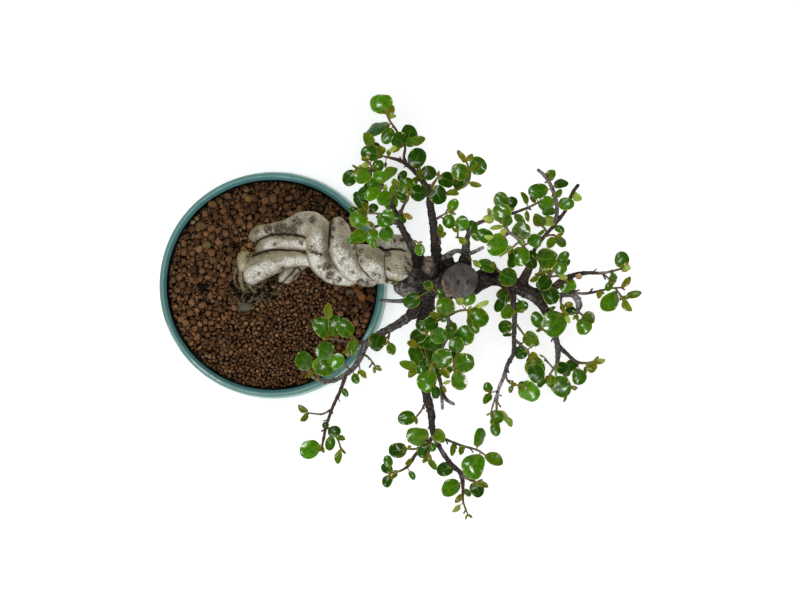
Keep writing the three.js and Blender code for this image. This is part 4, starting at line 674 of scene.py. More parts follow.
# Each branch: the seed of its draws, its twigs, and its leaves. A leaf is plan x and y of its blade's
# middle, length and width in plan steps, and kind, and where the photograph shows it the way that it
# points from its foot, in degrees anticlockwise from the right
BRANCHES = {
    "branch_upper_left": (201, [
        ([(415, 252, 118), (410, 242, 121), (404, 232, 124), (399, 221, 126), (393, 207, 129),
          (388, 197, 131), (382, 184, 132), (374, 170, 133), (367, 160, 134)],
         (2.4, 2.2, 1.9, 1.8, 1.5, 1.3, 1.1, 0.9, 0.8)),
        ([(391, 203, 129), (394, 196, 133), (396, 186, 137)], (1.1, 0.9, 0.8)),
        ([(399, 219, 126), (403, 207, 131), (408, 198, 134), (409, 190, 137)], (1.3, 1.1, 1, 0.8)),
        ([(396, 216, 127), (382, 214, 127), (367, 213, 128)], (1.1, 0.9, 0.8)),
        ([(401, 225, 125), (388, 222, 125), (376, 227, 125), (371, 231, 126)], (1.2, 1, 0.9, 0.8)),
        ([(376, 173, 133), (366, 167, 134), (357, 169, 136)], (0.9, 0.8, 0.7)),
        ([(410, 242, 121), (415, 241, 123.5), (418, 243, 125)], (1, 0.8, 0.6)),
    ], [
        (350, 178.6, 15, 14, "dark", 190), (363, 174.6, 18, 17, "bright"), (378, 165, 11, 11, "green"),
        (379.7, 178, 15, 15, "bright", 100), (391, 174, 16, 11, "lime", 75),
        (402.8, 175.6, 10, 8, "dark"), (394.7, 182.7, 10, 6, "lime"), (372.7, 194.4, 16, 12, "bright"),
        (363.9, 193, 12, 12, "dark"), (384.4, 198.8, 14, 14, "bright", 225),
        (390.3, 201.7, 16, 14, "green"), (396, 191.5, 14, 12, "bright"), (407, 187, 18, 16, "green", 80),
        (408, 189, 12, 7, "lime", 80), (418, 191.5, 18, 16, "dark", 10), (359.5, 203, 16, 12, "dark"),
        (372.7, 208.4, 10, 9, "dark"), (358, 219.4, 17, 17, "bright", 120),
        (390.3, 216.4, 17, 15, "bright"), (400.6, 218.6, 13, 12, "deep"), (408.6, 216.4, 8, 6, "olive"),
        (358, 236, 15, 14, "bright", 200), (372.7, 237, 15, 12, "bright", 260),
        (386.6, 234, 15, 14, "high"), (419.6, 250, 11, 10, "bright", 270),
    ]),
    "branch_top": (202, [
        ([(436.5, 256, 111.5), (435.5, 244, 113.5), (434, 230, 114.5), (431, 210, 117),
          (427.5, 190, 119), (416, 173, 121), (403, 162, 123), (391, 158, 125), (382, 156, 127)],
         (2.9, 2.6, 2.3, 2.1, 1.9, 1.6, 1.4, 1.1, 0.8)),
        ([(409, 167, 122), (404, 158, 124), (405, 147, 127), (398, 133, 129), (390, 121, 131),
          (386, 113, 133)], (1.3, 1.1, 1, 0.9, 0.8, 0.7)),
        ([(424, 183, 119.5), (419, 175, 123), (420, 170, 125)], (1, 0.8, 0.7)),
        ([(428, 191, 119), (438, 177, 121.5)], (1.3, 0.8)),
        ([(430, 204, 117.5), (440, 196, 119), (452, 191, 120), (467, 184, 121.5), (470, 172, 124),
          (466, 161, 126)], (1.3, 1.1, 1.1, 1, 0.9, 0.7)),
        ([(434, 221, 115.5), (441, 216, 116.5), (449, 212, 118)], (1.1, 0.9, 0.7)),
        ([(436, 246, 113), (440, 242, 116), (440, 236, 119)], (0.9, 0.8, 0.7)),
    ], [
        (381, 106, 23, 22, "bright", 120), (389.6, 111.5, 14, 8, "olive", 75),
        (376.6, 128.7, 24, 12, "dark", 175), (368.6, 138.7, 14, 11, "lime"),
        (387.4, 136.5, 15, 12, "green", 240), (406.4, 134.3, 21, 16, "dark", 100),
        (398.4, 140.9, 16, 16, "deep", 160), (418.5, 140, 13, 10, "lime", 10),
        (369.8, 153.3, 17, 15, "green", 170), (380.8, 152, 12, 10, "olive", 100),
        (396, 149.7, 8, 6, "olive"), (417.4, 157.7, 20, 17, "dark", 80),
        (419.6, 175.3, 12, 10, "lime", 100), (428.4, 172.7, 15, 14, "dark"),
        (438, 195, 18, 17, "dark", 290), (446, 181, 16, 15, "dark"), (460.7, 171, 18, 16, "green", 150),
        (460.7, 181, 18, 13, "dark", 200), (476.8, 167, 19, 18, "green", 20),
        (477, 167, 11, 7, "lime", 70), (460.7, 154.8, 11, 6, "olive", 110),
        (469.5, 157.7, 9, 6, "olive", 60), (476, 184.4, 11, 6, "olive", 0),
        (452.6, 193.7, 13, 7, "olive", 340), (453.4, 204.7, 12, 10, "bright", 70),
        (449.7, 221.6, 13, 12, "green", 290), (440, 229.6, 11, 6, "lime", 110),
        (443, 234.8, 8, 6, "olive", 0),
    ]),
    "branch_middle": (203, [
        ([(465.5, 257, 117), (466, 244, 120.5), (468, 236, 122), (474, 226, 123.5), (486, 220, 124),
          (510, 214, 124.5), (527, 208, 124), (541, 201, 124)], (2.4, 2.1, 1.7, 1.4, 1.3, 1.2, 1, 0.8)),
        ([(499, 217, 124), (505, 212, 128), (508, 209, 130)], (1, 0.9, 0.8)),
        ([(466, 241, 121), (458, 237, 123), (458, 232, 125)], (0.9, 0.8, 0.7)),
    ], [
        (462, 223, 14, 13, "green", 100), (471.7, 227.4, 13, 12, "deep", 70),
        (476, 234.5, 13, 10, "green", 320), (488.8, 218, 12, 9, "pale", 150),
        (502, 200.5, 17, 15, "bright", 110), (511.5, 203.5, 13, 11, "dark", 30),
        (524, 197.6, 12, 6, "lime", 110), (520.4, 220, 14, 8, "lime", 340), (534, 194, 9, 6, "lime"),
        (463, 240, 9, 7, "olive"),
    ]),
    "branch_upper_right": (204, [
        ([(532, 262, 117), (534, 251, 119), (543, 238, 120), (556, 223, 121), (565, 211, 121.5),
          (573, 192, 122.5), (579, 184, 123.5)], (1.4, 1.4, 1.35, 1.3, 1.3, 1.3, 1.3)),
        ([(554, 225, 121), (557, 212, 124), (555, 197, 127), (549, 182, 130), (544, 175, 132),
          (537, 169, 133)], (1.3, 1.4, 1.4, 1.4, 1.35, 1.25)),
        ([(547, 232, 120.5), (543, 226, 123), (540, 224, 125)], (0.9, 0.8, 0.7)),
        ([(533, 256, 118), (540, 262, 120), (545, 268, 121)], (1, 0.9, 0.8)),
        ([(544, 237, 120.5), (551, 235, 122), (557, 236, 123)], (0.9, 0.8, 0.7)),
    ], [
        (537.8, 190.4, 18, 14, "green", 160), (546.4, 203.7, 15, 15, "bright", 170),
        (551.6, 175, 11, 10, "lime", 60), (561.9, 183.9, 13, 9, "dark", 20),
        (558.6, 193, 9, 7, "lime", 80), (566.8, 203.9, 14, 12, "green", 0),
        (578, 196.9, 9, 8, "pale", 320), (538.8, 219.5, 14, 12, "lime", 110),
        (549, 221.5, 14, 11, "pale", 150), (559.7, 230, 9, 7, "green", 10),
        (560.3, 240.8, 14, 9, "green", 270), (551, 243.5, 11, 9, "lime", 210),
        (547.5, 257.7, 21, 21, "high", 340),
    ]),
    "branch_near": (205, [
        ([(529, 268, 115), (527, 259, 123), (524, 248, 130.5), (518, 239, 135), (509, 233, 137),
          (500, 236, 138), (494, 241, 138.5)], (1.2, 1.2, 1.3, 1.3, 1.2, 1, 0.8)),
        ([(510, 234, 137), (506, 227, 138), (503, 223, 138.5)], (1, 0.9, 0.7)),
        ([(520, 241, 134), (514, 246, 134), (511, 249, 134)], (0.9, 0.8, 0.7)),
        ([(524, 245, 131.5), (530, 243, 133)], (0.9, 0.7)),
    ], [
        (501, 214, 19, 18, "bright", 105), (521.4, 230.2, 18, 18, "high", 60),
        (533.7, 240.4, 16, 14, "high", 15), (531, 262, 14, 12, "dark", 300),
        (484.7, 235.3, 15, 13, "green", 150), (497, 245, 22, 19, "bright", 260),
        (506, 251.6, 16, 6, "pale", 240), (520.4, 256.7, 18, 17, "bright", 290),
        (512, 259, 17, 11, "dark", 260), (489, 237, 9, 5, "pale", 170), (503, 233, 11, 6, "pale", 60),
    ]),
    "branch_right_inner": (206, [
        ([(546, 291, 110), (547, 284, 112.5), (549, 277, 113.5), (554, 269, 114.5), (558, 264, 115.5)],
         (1.5, 1.4, 1.2, 1, 0.8)),
        ([(549, 277, 113), (557, 276, 113), (563, 278, 113)], (0.9, 0.8, 0.7)),
        ([(547, 280, 112.5), (540, 275, 114)], (0.9, 0.7)),
    ], [
        (564, 257, 12, 9, "green", 50), (559.5, 269, 15, 13, "bright", 340),
        (543, 270, 12, 7, "olive", 120), (563, 277, 9, 6, "pale", 10),
        (543.9, 282.3, 17, 14, "deep", 230), (550.3, 296, 17, 16, "deep", 280),
        (534, 279, 9, 6, "olive", 190),
    ]),
    "branch_far_right": (207, [
        ([(568, 277, 110.5), (579, 274, 111), (590, 272.8, 111), (603, 273, 111), (620, 269, 112),
          (623, 268, 113)], (1.5, 1.6, 1.3, 1.1, 0.8, 0.7)),
        ([(601, 273, 111), (607, 277, 110.5), (611, 282, 110)], (0.9, 0.8, 0.7)),
        ([(572, 276, 110), (571, 284, 108), (575, 292, 107), (585, 293.5, 106.5), (599, 291, 106.5),
          (610, 288.5, 106.5), (622, 287.5, 107)], (1.2, 1.3, 1.2, 1.1, 1, 0.9, 0.7)),
        ([(615, 288, 107), (619, 293, 106.5), (622, 297, 106.5)], (0.9, 0.8, 0.8)),
    ], [
        (621.5, 260.3, 17, 14, "green", 110), (625.9, 268.5, 10, 9, "pale", 0),
        (612.9, 280.4, 14, 8, "green", 70), (626.4, 281.5, 12, 7, "olive", 20),
        (609, 302, 20, 17, "bright", 215), (614.5, 293.4, 10, 6, "lime", 190),
        (634.6, 294, 14, 8, "lime", 15), (628, 305.9, 12, 8, "olive", 305),
        (567.9, 286.4, 17, 16, "bright", 150),
    ]),
    "branch_right_outer": (208, [
        ([(541, 304, 107.5), (551, 298, 106.5), (562, 295, 106), (573, 295, 105.5), (579, 304, 105),
          (576.5, 315, 104.5)], (1.6, 1.7, 1.7, 1.9, 2, 1.2)),
        ([(561, 295, 106), (561, 303, 106.5), (563.5, 312, 107)], (1.2, 1, 0.8)),
        ([(577, 311, 105), (584, 316, 105)], (1, 0.8)),
    ], [
        (571, 310.8, 11, 9, "dark", 170), (588.5, 318.7, 13, 13, "lime", 0),
        (583.3, 327, 15, 15, "bright", 270), (555, 324.5, 25, 24, "bright", 235),
        (569, 305, 8, 6, "olive", 0),
    ]),
    "branch_right": (209, [
        ([(543, 307, 107.5), (549, 320, 106.5), (555, 334, 104.5), (558, 350, 103), (558, 367, 101),
          (565, 376, 100), (571.4, 387, 99)], (1.9, 1.9, 1.9, 1.8, 1.2, 0.9, 0.8)),
        ([(558, 345, 103.5), (566, 353, 103), (577, 362, 103), (587, 363, 104), (594, 361, 105)],
         (1.6, 1.4, 1.2, 0.9, 0.7)),
        ([(557.5, 363, 102), (554, 368, 104.5), (549, 376, 106)], (0.9, 0.9, 0.8)),
        ([(553, 368, 105), (547, 361, 107), (544.6, 357.4, 107.5)], (0.8, 0.7, 0.6)),
        ([(551, 324, 106), (545, 328, 108), (541, 329, 109)], (0.9, 0.8, 0.7)),
    ], [
        (537, 319, 15, 12, "green", 110), (560.5, 387.5, 21, 19, "green", 320),
        (551, 381, 14, 10, "lime", 290), (562.8, 367, 13, 12, "dark", 350),
        (572.4, 365, 13, 11, "dark", 40), (578, 377, 15, 14, "green", 270),
        (592.5, 367, 12, 11, "olive", 280), (600, 360.5, 10, 6, "pale", 10),
    ]),
    "branch_lower_right": (210, [
        ([(512, 288, 108.5), (513.5, 303, 107), (514.5, 319, 106), (514, 338, 105), (513.5, 353, 104),
          (508, 364, 102), (504, 376, 100), (499, 388, 98), (497, 400, 96), (496.5, 411, 95)],
         (2.4, 1.8, 1.6, 1.5, 1.5, 1.5, 1.4, 1.3, 1.1, 0.9)),
        ([(501, 384, 99), (495, 399, 98), (490.6, 413, 96.5)], (1.1, 0.9, 0.7)),
        ([(514, 321, 106), (519, 328, 107), (525, 336, 108)], (1.1, 0.9, 0.8)),
        ([(514, 339, 105), (522, 346, 105.5), (528, 351, 106), (529, 358, 106.5)],
         (1.3, 1.1, 0.9, 0.8)),
        ([(505, 374, 100.5), (508, 381, 101), (513, 385, 102), (518, 385, 102.5)],
         (0.9, 0.8, 0.8, 0.7)),
        ([(514, 302, 107.5), (509, 293, 112), (505, 283, 115), (498, 270, 118), (494, 266, 119)],
         (1.4, 1.2, 1.1, 0.9, 0.8)),
        ([(497, 391, 97.5), (491, 392.5, 98)], (0.8, 0.6)),
    ], [
        (531.7, 339.4, 18, 15, "lime", 335), (521.5, 353, 14, 13, "dark", 220),
        (535.5, 366, 20, 19, "green", 330), (536.5, 374, 19, 16, "deep", 290),
        (529, 392.5, 21, 20, "bright", 330), (522.6, 387, 10, 7, "lime", 340),
        (511, 389.5, 7, 5, "lime", 270), (488.5, 387, 10, 9, "green", 150),
        (487, 399, 12, 8, "lime", 265), (498, 417, 12, 12, "green", 300),
        (495.4, 425.5, 13, 9, "green", 265), (503.5, 415, 10, 8, "pale", 20),
        (508, 422.5, 11, 7, "pale", 330), (508, 276.6, 20, 18, "deep", 0),
        (505.6, 293.5, 19, 15, "deep", 200), (500, 304.5, 16, 10, "dark", 250),
        (507.2, 312, 15, 14, "lime", 270), (522, 306, 12, 11, "green", 10),
        (504.8, 326.7, 13, 13, "dark", 190), (487, 265, 18, 12, "green", 190),
    ]),
    "branch_lower": (211, [
        ([(424, 312, 102.5), (421, 324, 100.5), (423, 350, 99), (426, 375, 97), (427, 396, 96),
          (431, 412, 95), (432, 427, 93.5), (435, 438, 92.5)], (3, 2.6, 2.5, 2.5, 2.5, 2.2, 1.9, 1.7)),
        ([(434, 434, 93), (429, 442, 92), (416, 454, 90), (408, 466, 88), (400, 471, 87),
          (391, 473, 86)], (1.5, 1.4, 1.3, 1.2, 0.9, 0.7)),
        ([(434, 435, 93), (440, 448, 91), (451, 464, 89), (461, 474, 87.5), (463, 489, 86),
          (463, 501, 85), (468, 515, 84)], (1.7, 1.6, 1.6, 1.6, 1.2, 0.9, 0.6)),
        ([(436, 437, 92.5), (447, 440, 93), (463, 446, 93), (477, 450, 93), (485, 455, 93)],
         (1.3, 1.1, 1, 0.9, 0.8)),
        ([(461, 474, 87.5), (470, 480, 88), (477, 482, 88.5)], (1.1, 0.9, 0.8)),
        ([(430, 358, 99), (437, 372, 99), (441, 385, 98), (442.5, 410, 97)], (1.5, 1.4, 1.3, 1.25)),
        ([(441, 388, 98), (446, 399, 98), (455, 405, 98)], (1.4, 1.3, 1.25)),
        ([(427, 399, 96), (421, 411, 95), (416, 417, 95)], (0.9, 0.8, 0.7)),
        ([(421, 448, 91), (413, 449, 91.5), (407, 449, 92)], (0.9, 0.8, 0.7)),
        ([(430, 440, 92.5), (428, 452, 93), (427, 458, 93)], (0.9, 0.8, 0.7)),
    ], [
        (406.5, 418.2, 17, 14, "green", 125), (417, 435.9, 21, 20, "bright", 180),
        (439.3, 436.5, 15, 14, "lime", 340), (397.9, 449.9, 18, 15, "dark", 180),
        (424, 451, 15, 12, "dark", 215), (388, 461, 11, 9, "green", 100),
        (386.4, 468.4, 12, 10, "dark", 190), (387.7, 482, 11, 10, "dark", 250),
        (394, 476, 8, 5, "olive", 280), (408.7, 462, 8, 6, "olive", 170),
        (412, 476, 8, 6, "green", 300), (445, 469.7, 17, 14, "dark", 200),
        (450.8, 489, 19, 17, "bright", 215), (433, 465.2, 11, 7, "lime", 270),
        (425, 459.5, 8, 5, "olive", 190), (452, 451, 10, 6, "lime", 265),
        (460.4, 451, 8, 6, "lime", 265), (480, 437, 18, 11, "green", 85),
        (494, 459.5, 19, 13, "lime", 325), (475.7, 467, 25, 22, "bright", 250),
        (477, 490, 15, 14, "dark", 250), (484, 485, 9, 6, "olive", 0), (458, 499, 9, 6, "olive", 230),
        (456, 509, 9, 6, "pale", 200),
    ]),
    "branch_cluster": (212, [
        ([(440, 289, 113), (444, 298, 117), (447, 313, 116), (449, 330, 113), (444, 344, 111),
          (436, 356, 109), (431, 368, 107)], (1.8, 1.6, 1.4, 1.3, 1.2, 1, 0.9)),
        ([(447.5, 316, 115.5), (459, 311, 116), (468, 310, 117)], (1.1, 0.9, 0.8)),
        ([(442, 294, 115.5), (436, 292, 119), (432, 289, 120)], (1, 0.8, 0.7)),
        ([(449, 330, 113), (456, 340, 110), (457, 355, 108), (453, 366, 106)], (1.1, 1, 0.9, 0.8)),
        ([(446, 340, 111.5), (434, 345, 109), (424, 362, 107), (420, 369, 106)], (1.1, 0.9, 0.8, 0.8)),
        ([(447, 315, 116), (436, 322, 113), (427, 331, 111)], (1, 0.9, 0.8)),
    ], [
        (440.8, 294, 11, 9, "green", 100), (445.5, 306.7, 20, 18, "high", 100),
        (467.3, 297.5, 15, 14, "bright", 60), (459.5, 298.6, 11, 9, "pale", 130),
        (478.6, 317, 20, 19, "green", 340), (430.6, 323.5, 16, 14, "deep", 140),
        (482.7, 304, 13, 6, "pale", 25), (410.9, 300.8, 16, 14, "dark"),
        (417.5, 336, 16, 14, "dark", 160), (438.7, 335.5, 18, 16, "high", 0),
        (463.5, 335, 20, 19, "green", 40), (411.9, 344, 10, 8, "olive", 180),
        (417, 356, 22, 14, "green", 115), (431, 352, 22, 13, "dark", 100),
        (442.5, 358, 21, 19, "high", 40), (456.5, 345.3, 18, 15, "high", 150),
        (464, 363, 20, 19, "green", 0), (459.7, 381, 18, 16, "bright", 300),
        (427.8, 382.3, 20, 19, "bright", 270), (434.8, 392.5, 12, 9, "deep", 290),
        (407.4, 365, 17, 10, "lime", 170), (413, 374, 11, 8, "olive", 200),
        (428.4, 285.5, 10, 8, "deep", 130), (434, 315, 9, 7, "olive", 200),
        (445, 374, 11, 8, "olive", 290),
    ]),
    "branch_left": (213, [
        ([(411, 315, 101), (400, 323, 98), (385, 331, 95), (367, 343, 92), (360, 358, 90),
          (352, 370, 88), (343, 376, 87), (333, 381, 86.5), (321, 381, 86.5), (311, 376, 87)],
         (2.7, 2.3, 2.1, 2, 1.8, 1.7, 1.6, 1.4, 1.3, 0.9)),
        ([(346, 374, 87), (341, 389, 84), (332, 409, 81), (326, 427, 79), (322, 447, 78)],
         (1.4, 1.3, 1.2, 1.2, 1)),
        ([(332, 409, 81), (322.4, 414, 82), (309, 413, 83)], (0.9, 0.8, 0.7)),
        ([(365, 345, 91.5), (357, 342, 92.5), (348, 342, 93), (328.5, 338.5, 93.5)],
         (1.1, 1, 0.9, 0.7)),
        ([(362, 353, 91), (369, 358, 90.5), (375, 366, 90)], (1, 0.8, 0.7)),
        ([(351, 371, 88), (346, 366, 91), (341, 363, 92)], (0.9, 0.8, 0.7)),
        ([(358, 361, 90), (360, 370, 89)], (0.9, 0.7)),
        ([(326, 426, 79), (333, 433, 80), (338, 440, 81), (341, 449, 81)], (0.9, 0.8, 0.8, 0.7)),
        ([(320, 381, 87), (317, 374, 90)], (0.9, 0.7)),
        ([(349, 342, 93), (346, 350, 92)], (0.8, 0.6)),
        ([(390, 328, 96), (389, 336, 95), (388, 341, 94.5)], (1, 0.8, 0.7)),
        ([(360, 343, 92), (355, 338.5, 93.5)], (0.8, 0.6)),
    ], [
        (328.5, 310.6, 15, 9, "olive", 60), (321, 327.6, 20, 18, "green", 165),
        (332.7, 325, 20, 17, "green", 90), (345, 327, 19, 16, "green", 120),
        (324.8, 350.6, 18, 18, "high", 150), (304.2, 360.9, 22, 16, "high", 120),
        (324.2, 367.5, 17, 17, "green", 200), (335.7, 361.5, 19, 14, "bright", 10),
        (353.3, 347, 19, 10, "lime", 250), (378, 342, 19, 17, "deep", 280),
        (391.5, 349.4, 11, 10, "lime", 320), (356, 379, 9, 8, "green", 280),
        (363.5, 374.5, 9, 6, "olive", 300), (345.4, 393, 8, 6, "green", 290),
        (302.5, 408, 10, 7, "lime", 110), (304, 418, 9, 6, "olive", 250),
        (326, 426, 8, 7, "dark", 100), (334.5, 433, 14, 13, "dark", 80),
        (330, 444, 13, 10, "green", 290), (309.7, 450, 20, 19, "bright", 205),
        (341, 438.5, 9, 6, "lime", 0), (338.8, 457.8, 12, 8, "lime", 250),
    ]),
}


# Small and hidden leaves besides those of the solids: the same columns
EXTRA_LEAVES = {
    "branch_upper_left": [
        (364.7, 164.6, 8, 6, "pale"), (356, 172, 6, 4, "pale"), (373.5, 182.6, 12, 11, "green"),
        (368, 186, 9, 8, "dark"), (377, 187.5, 11, 9, "dark"), (357.5, 196.5, 10, 9, "dark"),
        (362, 212.5, 9, 7, "lime"), (365, 206, 8, 6, "olive"), (353, 209.6, 8, 7, "dark"),
        (371, 224, 7, 5, "olive"), (373.7, 244.5, 9, 7, "bright"), (384.5, 220.4, 14, 12, "green"),
        (385.5, 188, 8, 5, "pale"), (401, 196, 10, 9, "dark"), (404, 200, 10, 9, "dark"),
        (351.5, 240, 8, 7, "green"),
    ],
    "branch_top": [
        (411, 142, 11, 9, "green"), (376.4, 146.6, 9, 7, "dark"), (389.5, 153.5, 9, 5, "olive"),
        (392.6, 116, 7, 5, "pale"), (392.5, 148.5, 8, 5, "pale"), (385.4, 165.5, 4, 3, "olive"),
        (414, 180.6, 8, 7, "lime"),
    ],
    "branch_middle": [
        (532.5, 199.5, 8, 4, "olive"), (527.5, 217, 9, 5, "olive"), (489, 211, 6, 5, "pale"),
        (477.5, 264, 9, 6, "pale"),
    ],
    "branch_upper_right": [
        (548.5, 212, 12, 9, "green"), (541, 232.5, 8, 4, "lime"), (532, 255, 10, 8, "deep"),
    ],
    "branch_near": [
        (496, 227.5, 12, 5, "pale"), (507, 222, 14, 10, "green"), (520, 242, 9, 7, "lime"),
    ],
    "branch_right_inner": [
        (565, 262, 10, 7, "green"), (549, 271, 10, 6, "olive"),
    ],
    "branch_far_right": [
        (614, 275, 9, 5, "green"), (608.5, 286.5, 9, 7, "green"), (600.5, 294.5, 10, 6, "olive"),
    ],
    "branch_right_outer": [
        (563, 308.5, 9, 5, "olive"), (564.5, 314, 8, 5, "olive"), (568, 320, 7, 5, "pale"),
    ],
    "branch_right": [
        (540.5, 329.5, 9, 4, "olive"), (551, 309.5, 10, 5, "lime"), (541.5, 383, 10, 6, "green"),
        (555.5, 372, 9, 3, "pale"), (585.5, 371.5, 7, 4, "green"), (567, 372.5, 9, 7, "green"),
        (565, 399.5, 6, 3, "olive"),
    ],
    "branch_lower_right": [
        (495.5, 430, 12, 10, "green"), (514, 384, 7, 4, "olive"), (506.5, 334.5, 7, 4, "dark"),
        (533.5, 355.5, 9, 6, "olive"), (520, 312, 7, 4, "olive"),
    ],
    "branch_lower": [
        (431.5, 308.5, 8, 6, "deep"), (421, 345, 12, 9, "high"), (443.5, 388.5, 9, 4, "olive"),
        (447.5, 382, 6, 4, "pale"), (416, 421, 6, 3, "olive"), (432, 447, 9, 8, "green"),
        (430, 457, 6, 4, "olive"), (409, 447.6, 6, 4, "olive"), (396, 471, 7, 4, "olive"),
        (455, 446, 6, 4, "olive"), (463.5, 447, 6, 4, "olive"), (478, 483, 9, 5, "olive"),
        (467.5, 493, 8, 6, "dark"),
    ],
    "branch_cluster": [
        (443.5, 317, 12, 10, "high"), (451, 327.5, 12, 11, "deep"), (469, 323, 8, 5, "lime"),
        (474.5, 327.5, 12, 10, "green"), (422.5, 368.5, 13, 11, "green"), (430.5, 367.5, 7, 4, "pale"),
        (456.5, 357.5, 7, 5, "lime"),
        (428, 343, 17, 14, "dark"), (437, 345, 15, 13, "dark"), (426, 365, 14, 13, "dark"),
        (436, 372, 13, 11, "dark"), (450, 334, 14, 12, "high"), (455, 356, 13, 12, "dark"),
        (421, 326, 11, 10, "dark"), (447, 371, 10, 8, "dark"),
    ],
    "branch_left": [(321, 366, 18, 16, "bright")],
}


# Limbs: tubes along the routes of the part's source

CURVE_SAMPLES = 40
END_ANGLES = np.radians([25.0, 50.0, 72.0])


def tube(points, radii, sides):
    """A round profile carried along the smooth curve through points. Its radius blends evenly along
    the list of radii, and the far end is rounded: the last rings are circles of a half ball."""
    fine = np.linspace(0, 1, CURVE_SAMPLES * (len(points) - 1) + 1)
    track, _ = curve_through(points, fine)
    lengths = np.concatenate([[0], np.cumsum(np.linalg.norm(np.diff(track, axis=0), axis=1))])
    total, end = lengths[-1], radii[-1]
    count = max(4, math.ceil((total - end) / RING_STEP))
    reach = np.concatenate([np.linspace(0, total - end, count + 1), total - end * (1 - np.sin(END_ANGLES))])
    t = np.interp(reach, lengths, fine)
    centres, forward = curve_through(points, t)
    radius = np.interp(t, np.linspace(0, 1, len(radii)), radii)
    radius[-len(END_ANGLES):] = end * np.cos(END_ANGLES)
    across, other = frames_along(forward)
    angle = angles_round(sides)
    spokes = np.cos(angle)[:, None] * across[:, None] + np.sin(angle)[:, None] * other[:, None]
    return {
        "centres": centres, "forward": forward, "radius": radius, "reach": reach, "spokes": spokes,
        "skin": spun(radius[:, None], reach[:, None], angle), "start": centres[0], "end": track[-1],
    }


def surface(limb, rise):
    """The limb's points: its centres and, along its spokes, its radius times (1 + rise)."""
    return limb["centres"][:, None] + limb["spokes"] * (limb["radius"][:, None] * (1 + rise))[..., None]


def depth_in(points, lines):
    """Distance from points to the nearest of several tapered lines' surfaces, negative inside."""
    nearest = np.full(points.shape[:-1], np.inf)
    for line in lines:
        away = np.linalg.norm(points[..., None, :] - line["centres"], axis=-1) - line["radius"]
        nearest = np.minimum(nearest, away.min(-1))
    return nearest


# Marks on the bark: plan x and y, radius and strength, or for a crease the points that it runs through

DIRT = [
    (281, 230, 11, 1.06), (268, 229, 7, 0.92), (297, 222, 8, 0.9), (292, 229, 8, 0.98),
    (272, 234.5, 3, 1.1), (280, 235, 3, 1.05), (288, 235, 3, 1.05), (296, 235, 3, 1.05),
    (330, 217, 3.4, 1.1), (332, 222, 3.4, 1.1), (333.5, 229, 3.4, 1.2), (332, 237, 3.2, 1.15),
    (329, 247, 2.6, 1.0), (354, 248, 2.4, 1.1), (358, 255, 2.4, 1.1), (361.5, 261, 2.4, 1.1),
    (248, 256, 3, 0.9), (336, 283, 5, 0.85), (313, 219.5, 6.5, 0.9), (316, 253.5, 4, 0.95),
    (321, 254.5, 3, 0.95), (312, 251.5, 3, 0.95), (311.5, 246.7, 3, 0.9), (319.5, 266.5, 3.4, 1.0),
    (327, 267, 7, 0.95), (330, 275, 7, 0.95), (339, 279, 5, 0.9), (343, 260, 5, 0.6),
    (341, 264, 3, 0.7), (353, 273, 3, 0.8), (360, 282, 6.5, 0.98), (368, 283, 6.5, 0.98),
    (361, 251, 4, 0.85), (374, 274, 4.5, 0.9), (381, 275, 4.5, 0.9), (388.5, 269, 3, 1.3),
    (388, 254, 6, 0.85), (342, 221, 7, 0.8), (404, 257, 4, 0.9), (408, 262, 4, 0.9),
    (406, 269, 3.4, 0.9), (410, 274, 6, 0.8), (413, 267, 5, 0.85), (403, 274, 3, 0.7),
    (402, 240, 4, 1.0), (395, 241, 3, 1.0), (409, 247, 4, 0.8), (283, 268, 2.8, 1.2),
    (258.6, 273, 2.4, 1.0), (275, 244, 3, 0.8), (301, 243, 4, 0.7), (298, 238, 3, 0.7),
    (248, 262, 4, 0.6), (257, 232, 4, 0.7), (267, 252, 3, 0.6), (377, 279, 4, 0.7), (320, 280, 4, 0.7),
]
# Places where the painted highlight on the strands is dimmed: plan x and y, radius and strength
HIGHLIGHT_DIMMED = [(399, 264, 17, 1.0), (345, 233, 9, 0.5), (294, 222, 15, 0.55), (340, 221, 9, 0.9), (322, 222, 8, 0.4)]
LICHEN = [
    (240, 254, 9, 0.85), (250, 252, 7, 0.7), (243, 265, 8, 0.65), (246, 290, 8, 0.6), (300, 264, 7, 0.35),
    (329, 244, 7, 0.45), (327, 228, 6, 0.4), (300, 217, 7, 0.35), (395, 280, 7, 0.7), (398, 286, 8, 0.6),
    (313, 262, 7, 0.3), (330, 284, 8, 0.3), (275, 269, 8, 0.3), (253, 247, 5, 0.5),
]
MERGED = [(370, 258, 9, 0.8), (369, 245, 6, 0.6), (378, 282, 9, 0.7), (245, 264, 8, 0.8), (240, 256, 7, 0.6)]
# Creases: plan lines along which dark painted shade is drawn between strands
CREASES = [
    [(257, 241), (263, 238), (271.5, 235), (282, 234.4), (292.5, 234.7), (301, 236), (306, 238)],
    [(258, 253.3), (266, 250.7), (275, 249.6), (285, 250)],
    [(331, 216), (330, 224), (330, 235), (329, 246)],
    [(309.5, 250), (314, 252.8), (321, 254.2)],
    [(380, 247), (385, 250.2), (392, 249), (399, 249.4), (406, 251.5)],
]
# Dark places of the crown and limbs, painted as shade: plan x and y, radius and strength
PAINTED_SHADE_SPOTS = [
    (417, 262, 11, 1.0), (421, 277, 10, 1.0), (438, 271, 11, 1.0), (425, 288, 7, 0.7), (441, 288, 5, 0.5),
    (449, 262, 8, 0.7), (489, 272, 11, 1.0), (476, 285, 6, 0.6), (411, 251, 7, 0.8), (437, 260, 6, 0.8),
    (452, 262, 7, 0.8), (482, 266, 7, 0.9), (427, 306, 9, 0.5), (505, 283, 6, 0.5), (470, 292, 7, 0.6),
    (406, 319, 9, 0.5), (395, 326, 9, 0.6), (383, 332, 9, 0.6), (371, 340, 8, 0.5), (362, 352, 7, 0.35),
    (349, 372, 6, 0.3),
]
